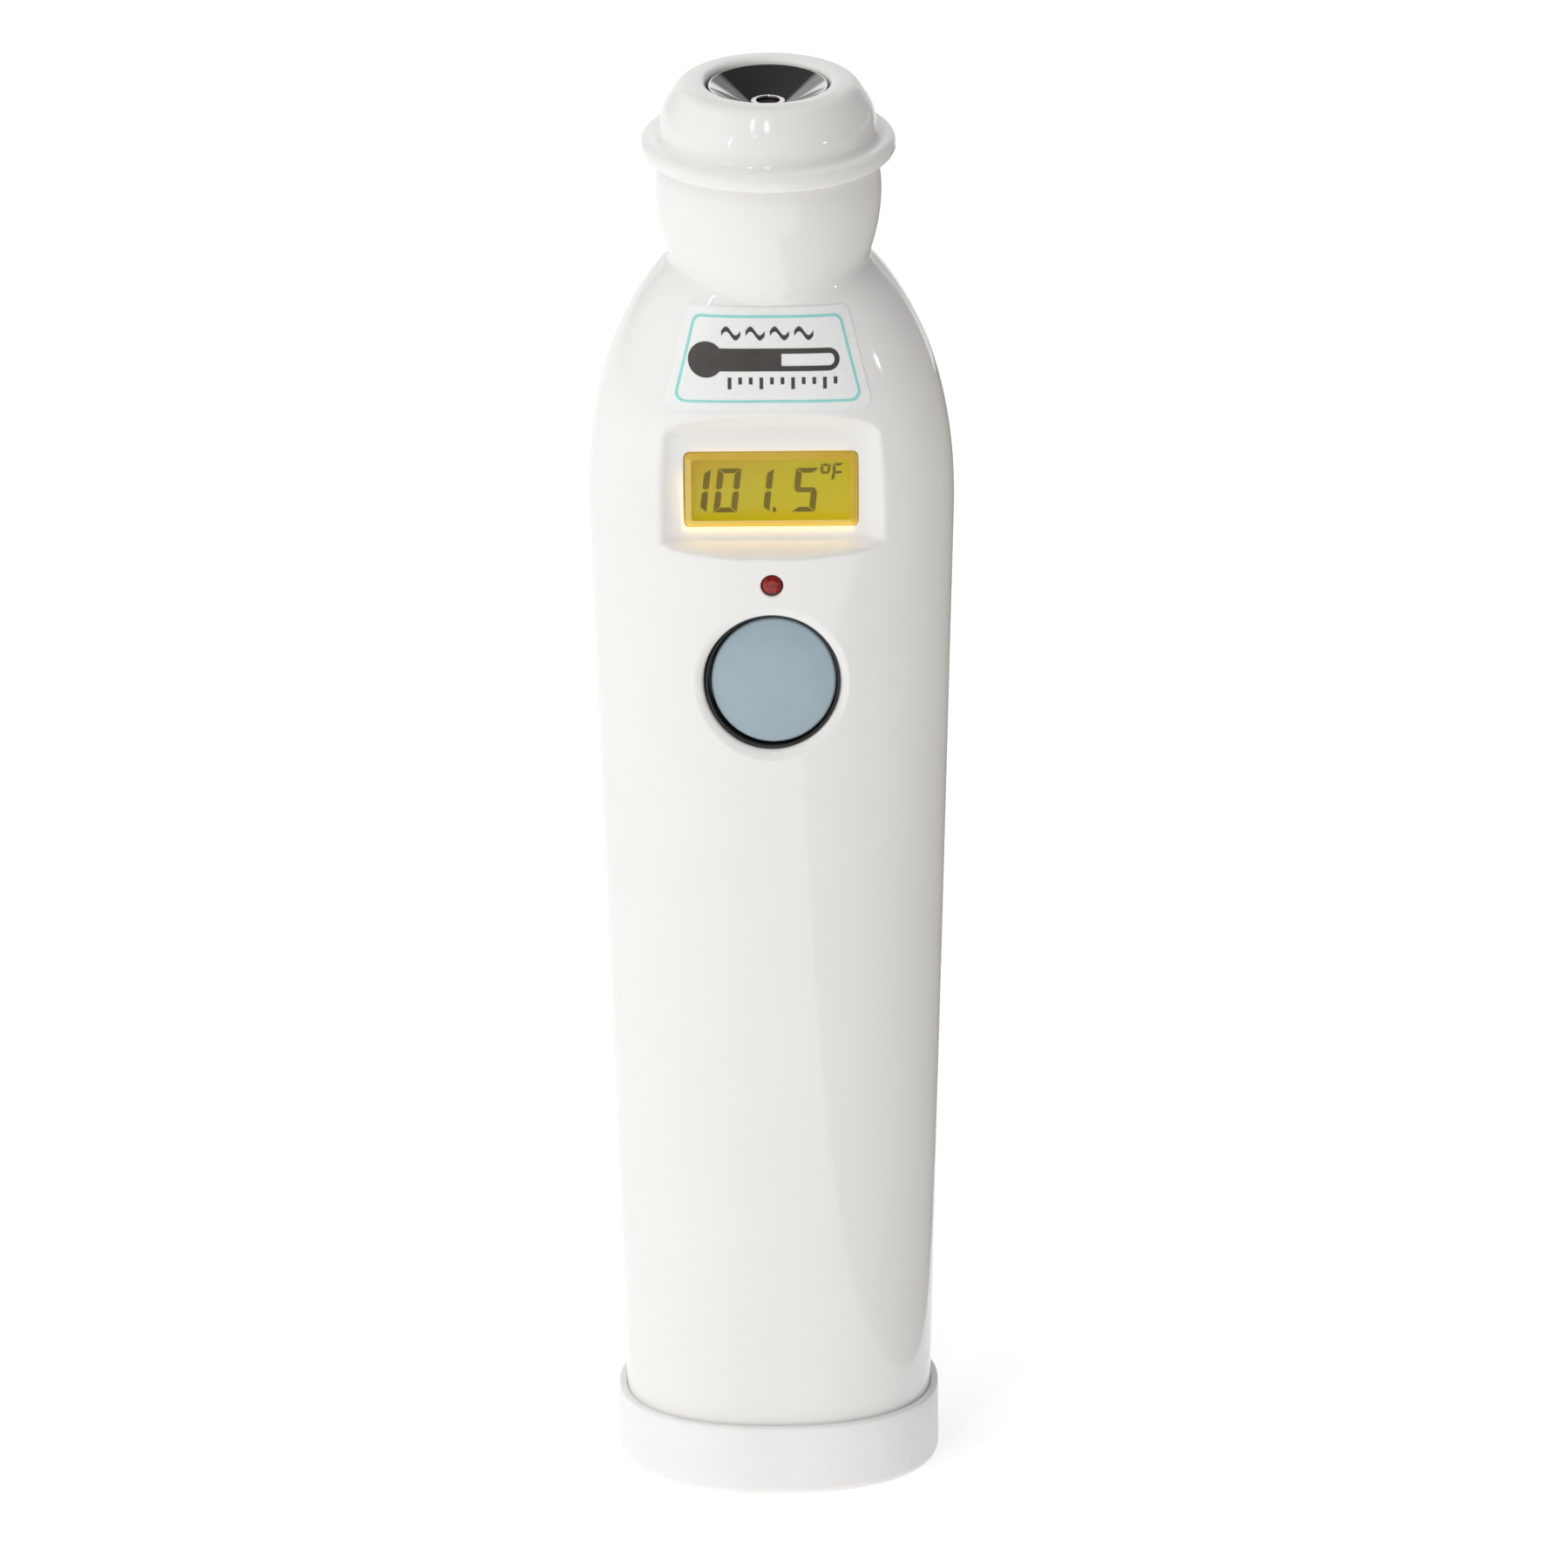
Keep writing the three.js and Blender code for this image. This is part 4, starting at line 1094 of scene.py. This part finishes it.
def screw(name, radius, shank, length, x, head_y, z, metal):
    """A domed head with a cross recess and a plain shank, that faces +Y."""
    arm, half, sink = 0.6 * radius, 0.15 * radius, 0.45
    cross, corners = [], np.array([(half, -arm), (half, -half), (arm, -half)])
    for _ in range(4):
        cross += corners.tolist()
        corners = np.stack([-corners[:, 1], corners[:, 0]], 1)
    cross = resampled(np.array(cross), 0.15)
    rim = oval(0, 0, 0.72 * radius, 48)
    spots = grid(np.arange(-radius, radius, 0.22), np.arange(-radius, radius, 0.22))
    spots = spots[inside(spots, rim) & (distance_to(spots, rim) > 0.1) & (distance_to(spots, cross) > 0.08)]
    flat, (rim_ring, cross_ring), triangles = triangulate([rim, cross], [spots])
    count = len(flat)
    dome_height = 1.2 - 0.12 * (np.hypot(*flat.T) / radius) ** 2
    points = [np.column_stack([flat, dome_height]), np.column_stack([flat, np.full(count, sink)])]
    faces = covered(flat, triangles, [rim, cross]).tolist()
    faces += (covered(flat, triangles, [cross]) + count).tolist()
    faces += band(cross_ring, [place + count for place in cross_ring])
    total, before, size = 2 * count, rim_ring, len(rim_ring)
    lower = [(0.82, 1.09), (0.91, 0.98), (0.97, 0.82), (1, 0.62), (1, 0.05), (0.97, 0)]
    lower = [(radius * share, height) for share, height in lower]
    lower += [(shank, 0), (shank, shank - length), (0.4 * shank, -length)]
    for ring_radius, height in lower:
        points.append(np.column_stack([oval(0, 0, ring_radius, size), np.full(size, height)]))
        after = list(range(total, total + size))
        faces += band(before, after)
        before, total = after, total + size
    faces.append(before[::-1])
    px, pz, height = np.concatenate(points).T
    placed = np.column_stack([x - px, head_y + height, z + pz])
    install(make_object(f"screw_{name}", placed, faces, [metal], sharp=35), "handle", "steel", name)


def build_screws(metal):
    for k, (x, z) in enumerate(SHELL_SCREWS, 1):
        screw(f"shell_screw_{k}", 1.75, 0.95, 12, x, 7.5, z, metal)
    screw("door_screw", 2.2, 1.15, 9, 0, 12.5, 13.6, metal)


# ---- Badge and rating label ----

BADGE_LOW, BADGE_HIGH = 135.75, 147.55
BADGE_BOTTOM_HALF, BADGE_TOP_HALF = 12.2, 9.2
BADGE_X = -0.3
BADGE_BOW = 0.55


def badge_outline(inset, radius):
    low, high = BADGE_LOW + inset, BADGE_HIGH - inset
    slope = (BADGE_BOTTOM_HALF - BADGE_TOP_HALF) / (BADGE_HIGH - BADGE_LOW)
    bottom, top = BADGE_BOTTOM_HALF - inset * (1.05 + slope), BADGE_TOP_HALF - inset * (1.05 - slope)
    corners = [(bottom, low), (top, high), (-top, high), (-bottom, low)]
    return rounded([(*corner, radius) for corner in corners], steps=8)


def bowed(outline):
    """Places on the badge: its level lines rise a little in the middle, as it wraps the shoulder."""
    x, z = resampled(np.asarray(outline, float), 0.6).T
    return np.stack([x + BADGE_X, z + BADGE_BOW * (1 - (x / BADGE_BOTTOM_HALF) ** 2)], 1)


def build_badge(paper, teal, ink):
    """A sticker with a teal outline, heat waves, a thermometer sign and its scale."""
    shapes = [(badge_outline(0, 1.2), [], 0, 0)]
    outer, inner = badge_outline(0.92, 1.1), badge_outline(1.22, 0.9)
    shapes.append((outer, [inner], 1, 0.03))
    for k in range(4):
        x, z = -5.3 + 2.8 * k, 144.6
        wave = np.linspace(0, 2 * math.pi, 21)
        lower = [(x + 2.2 * w / (2 * math.pi), z + 0.5 * math.sin(w) - 0.28) for w in wave]
        upper = [(px, pz + 0.56) for px, pz in reversed(lower)]
        shapes.append((lower + upper, [], 2, 0.03))
    centre, half, end = 141.6, 1.3, 8.3
    tube = rounded([
        (-6.6, centre - half, 0.3), (end, centre - half, half), (end, centre + half, half),
        (-6.6, centre + half, 0.3),
    ], steps=6)
    hollow = rounded([
        (1.6, centre - half + 0.6, 0.1), (end - 0.6, centre - half + 0.6, 0.6),
        (end - 0.6, centre + half - 0.6, 0.6), (1.6, centre + half - 0.6, 0.1),
    ], steps=5)
    shapes.append((tube, [hollow], 2, 0.03))
    shapes.append((oval(-7.1, centre, 2.05, 32), [], 2, 0.045))
    for k in range(11):
        x = -4.6 + 1.22 * k
        tall = 1.35 if k % 3 == 0 else 0.8
        shapes.append((bar(x, 139.6 - tall, x + 0.42, 139.6), [], 2, 0.03))
    bent = []
    for path, holes, slot, lift in shapes:
        bent.append((bowed(path), [bowed(hole) for hole in holes], slot, lift))
    badge = film("badge", bent, 0.02, 0.08, [paper, teal, ink])
    install(badge, "handle", "label_white", "front_badge")


def build_label(paper, ink):
    """A rating plate with plain bars where the small print is, and two generic signs."""
    low, high = 77.3, 110.7
    outline = shifted(rectangle_path(10.3, (high - low) / 2, 1.4), 0, (low + high) / 2)
    marks = [(bar(-8.6, 105.6, 4.2, 107.4), [])]
    for k in range(7):
        z = 102.6 - 2.0 * k
        reach = 8.6 - 1.9 * (k % 3)
        marks.append((bar(-8.6, z, reach, z + 0.7), []))
    marks.append((bar(-8.6, 80, -3, 86.4), [bar(-8.2, 80.4, -3.4, 86)]))
    marks.append((oval(-5.8, 83.2, 1.5, 24), [oval(-5.8, 83.2, 1.1, 24)]))
    for k in range(14):
        x = 0.2 + 0.6 * k
        marks.append((bar(x, 80, x + (0.36 if k % 3 else 0.18), 86.4), []))
    shapes = [(outline, [], 0, 0)] + [(path, holes, 1, 0.012) for path, holes in marks]
    label = film("rating_label", shapes, 0.004, 0.02, [paper, ink], rear=True)
    install(label, "handle", "label_white", "rear_label")


# ---- Protective cap ----

CAP_HALF_WIDTH = 18.8
CAP_HALF_DEPTH = 15.2
CAP_HEIGHT = 8.8


def build_cap(material):
    """A shallow oval cup with rounded edges, a ring at a time from the middle of its underside."""
    angles = np.arange(192) * 2 * math.pi / 192

    def outer(inset, z):
        a, b = CAP_HALF_WIDTH - inset, CAP_HALF_DEPTH - inset
        across = (np.abs(np.sin(angles)) / a) ** SECTION_POWER
        along = (np.abs(np.cos(angles)) / b) ** SECTION_POWER
        return (across + along) ** (-1 / SECTION_POWER), z

    def inner(inset, z):
        return handle_radius(angles, np.full(len(angles), float(z)), inset), z
    rings = [outer(14, 0), outer(6, 0), outer(1.3, 0)]
    for step in range(1, 9):
        turn = step / 8 * math.pi / 2
        rings.append(outer(1.2 * (1 - math.sin(turn)), 1.2 * (1 - math.cos(turn))))
    rings += [outer(0, 3), outer(0, 5), outer(0, 7), outer(0, CAP_HEIGHT - 0.3)]
    for inset, drop in ((0.03, 0.18), (0.1, 0.07), (0.2, 0.01), (0.3, 0)):
        rings.append(outer(inset, CAP_HEIGHT - drop))
    for inset, drop in ((-0.22, 0), (-0.1, 0.01), (-0.04, 0.05), (-0.02, 0.13)):
        rings.append(inner(inset, CAP_HEIGHT - drop))
    for inset, z in ((-0.02, 6), (-0.02, 4), (-0.02, 2.2), (0.5, 1.4), (1.2, 1.2), (8, 1.2)):
        rings.append(inner(inset, z))
    points, faces = [], []
    for radius, z in rings:
        points += [(r * math.sin(a), -r * math.cos(a), z) for r, a in zip(radius, angles)]
    size = len(angles)
    places = [range(i * size, (i + 1) * size) for i in range(len(rings))]
    for before, after in zip(places, places[1:]):
        faces += band(after, before)
    points += [(0, 0, 0), (0, 0, 1.2)]
    bottom, top, last = len(points) - 2, len(points) - 1, places[-1][0]
    for k in range(size):
        n = (k + 1) % size
        faces += [(bottom, n, k), (top, last + k, last + n)]
    cap = make_object("foot_cap", points, faces, [material], sharp=60)
    install(cap, "cap", "cap_white", "protective_cap")


# ---- Everything else keeps its CAD shape ----

def dress(material, *names, bevel=0.0):
    for name in names:
        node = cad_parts[name]
        node.data.materials.clear()
        node.data.materials.append(material)
        if bevel:
            rounding = node.modifiers.new("rounding", "BEVEL")
            rounding.width = bevel * MM
            rounding.segments = 3
            rounding.limit_method = "ANGLE"
            rounding.angle_limit = math.radians(40)
            rounding.harden_normals = True


def dress_inside():
    metal = steel()
    dress(metal, *[f"board_screw_{k}" for k in range(1, 5)], "sensor_header")
    dress(metal, "crystal", "capacitor", bevel=0.25)
    black = black_plastic()
    dress(black, "cone_holder", "buzzer")
    dress(black, "switch_body", "battery_snap", bevel=0.2)
    board = circuit_board()
    dress(board, "main_board", "sensor_board")
    chip = plain("chip_black", (0.015, 0.015, 0.017), 0.5, vary=0.5, scale=900)
    dress(chip, "microcontroller", "amplifier_chip", "memory_chip", bevel=0.12)
    pale = plain("pale_plastic", (0.72, 0.72, 0.68), 0.38)
    dress(pale, "lcd_frame", "sensor_cable", "switch_plunger")
    dress(pale, "backlight_guide", "sensor_connector", "battery_connector", bevel=0.15)
    dress(pale, "backlight_led_left", "backlight_led_right", bevel=0.1)
    rubber = plain("zebra_rubber", (0.03, 0.03, 0.03), 0.7, vary=0.8, scale=3000)
    dress(rubber, "contact_strip_upper", "contact_strip_lower", bevel=0.1)
    sleeve = plain("battery_case", (0.02, 0.035, 0.12), 0.3, vary=0.4, scale=60, Metallic=0.3)
    dress(sleeve, "battery", bevel=0.3)
    dress(plain("wire_red", (0.45, 0.015, 0.012), 0.4), "red_lead")
    dress(plain("wire_black", (0.012, 0.012, 0.012), 0.4), "black_lead")
    return black, metal


# ---- The object ----

make_studio()
black, metal = dress_inside()
shell = glossy_shell()
install(front_cover(shell), "handle", "shell_white", "front_cover")
install(rear_cover(shell), "handle", "shell_white", "rear_cover")
install(battery_door(shell), "handle", "shell_white", "battery_door")
chrome = polished("mirror_metal", (0.86, 0.86, 0.87), 0.05)
filter_glass = plain("sensor_glass", (0.30, 0.25, 0.23), 0.22, Metallic=0.9)
build_probe(shell, chrome, filter_glass)
build_button(button_plastic(), black)
build_lamp(lamp_epoxy())
build_screws(metal)
lcd_ink = plain("lcd_ink", (0.17, 0.13, 0.006), 0.4, vary=0.2)
build_display(lcd_with_painted_shade(), amber_edge(), window_clear(), lcd_ink)
paper = plain("label_white", (0.84, 0.85, 0.83), 0.3, vary=0.02)
teal = plain("print_teal", (0.30, 0.66, 0.64), 0.35)
ink = plain("print_grey", (0.055, 0.05, 0.045), 0.4, vary=0.2)
build_badge(paper, teal, ink)
build_label(paper, ink)
build_cap(milky_cap())
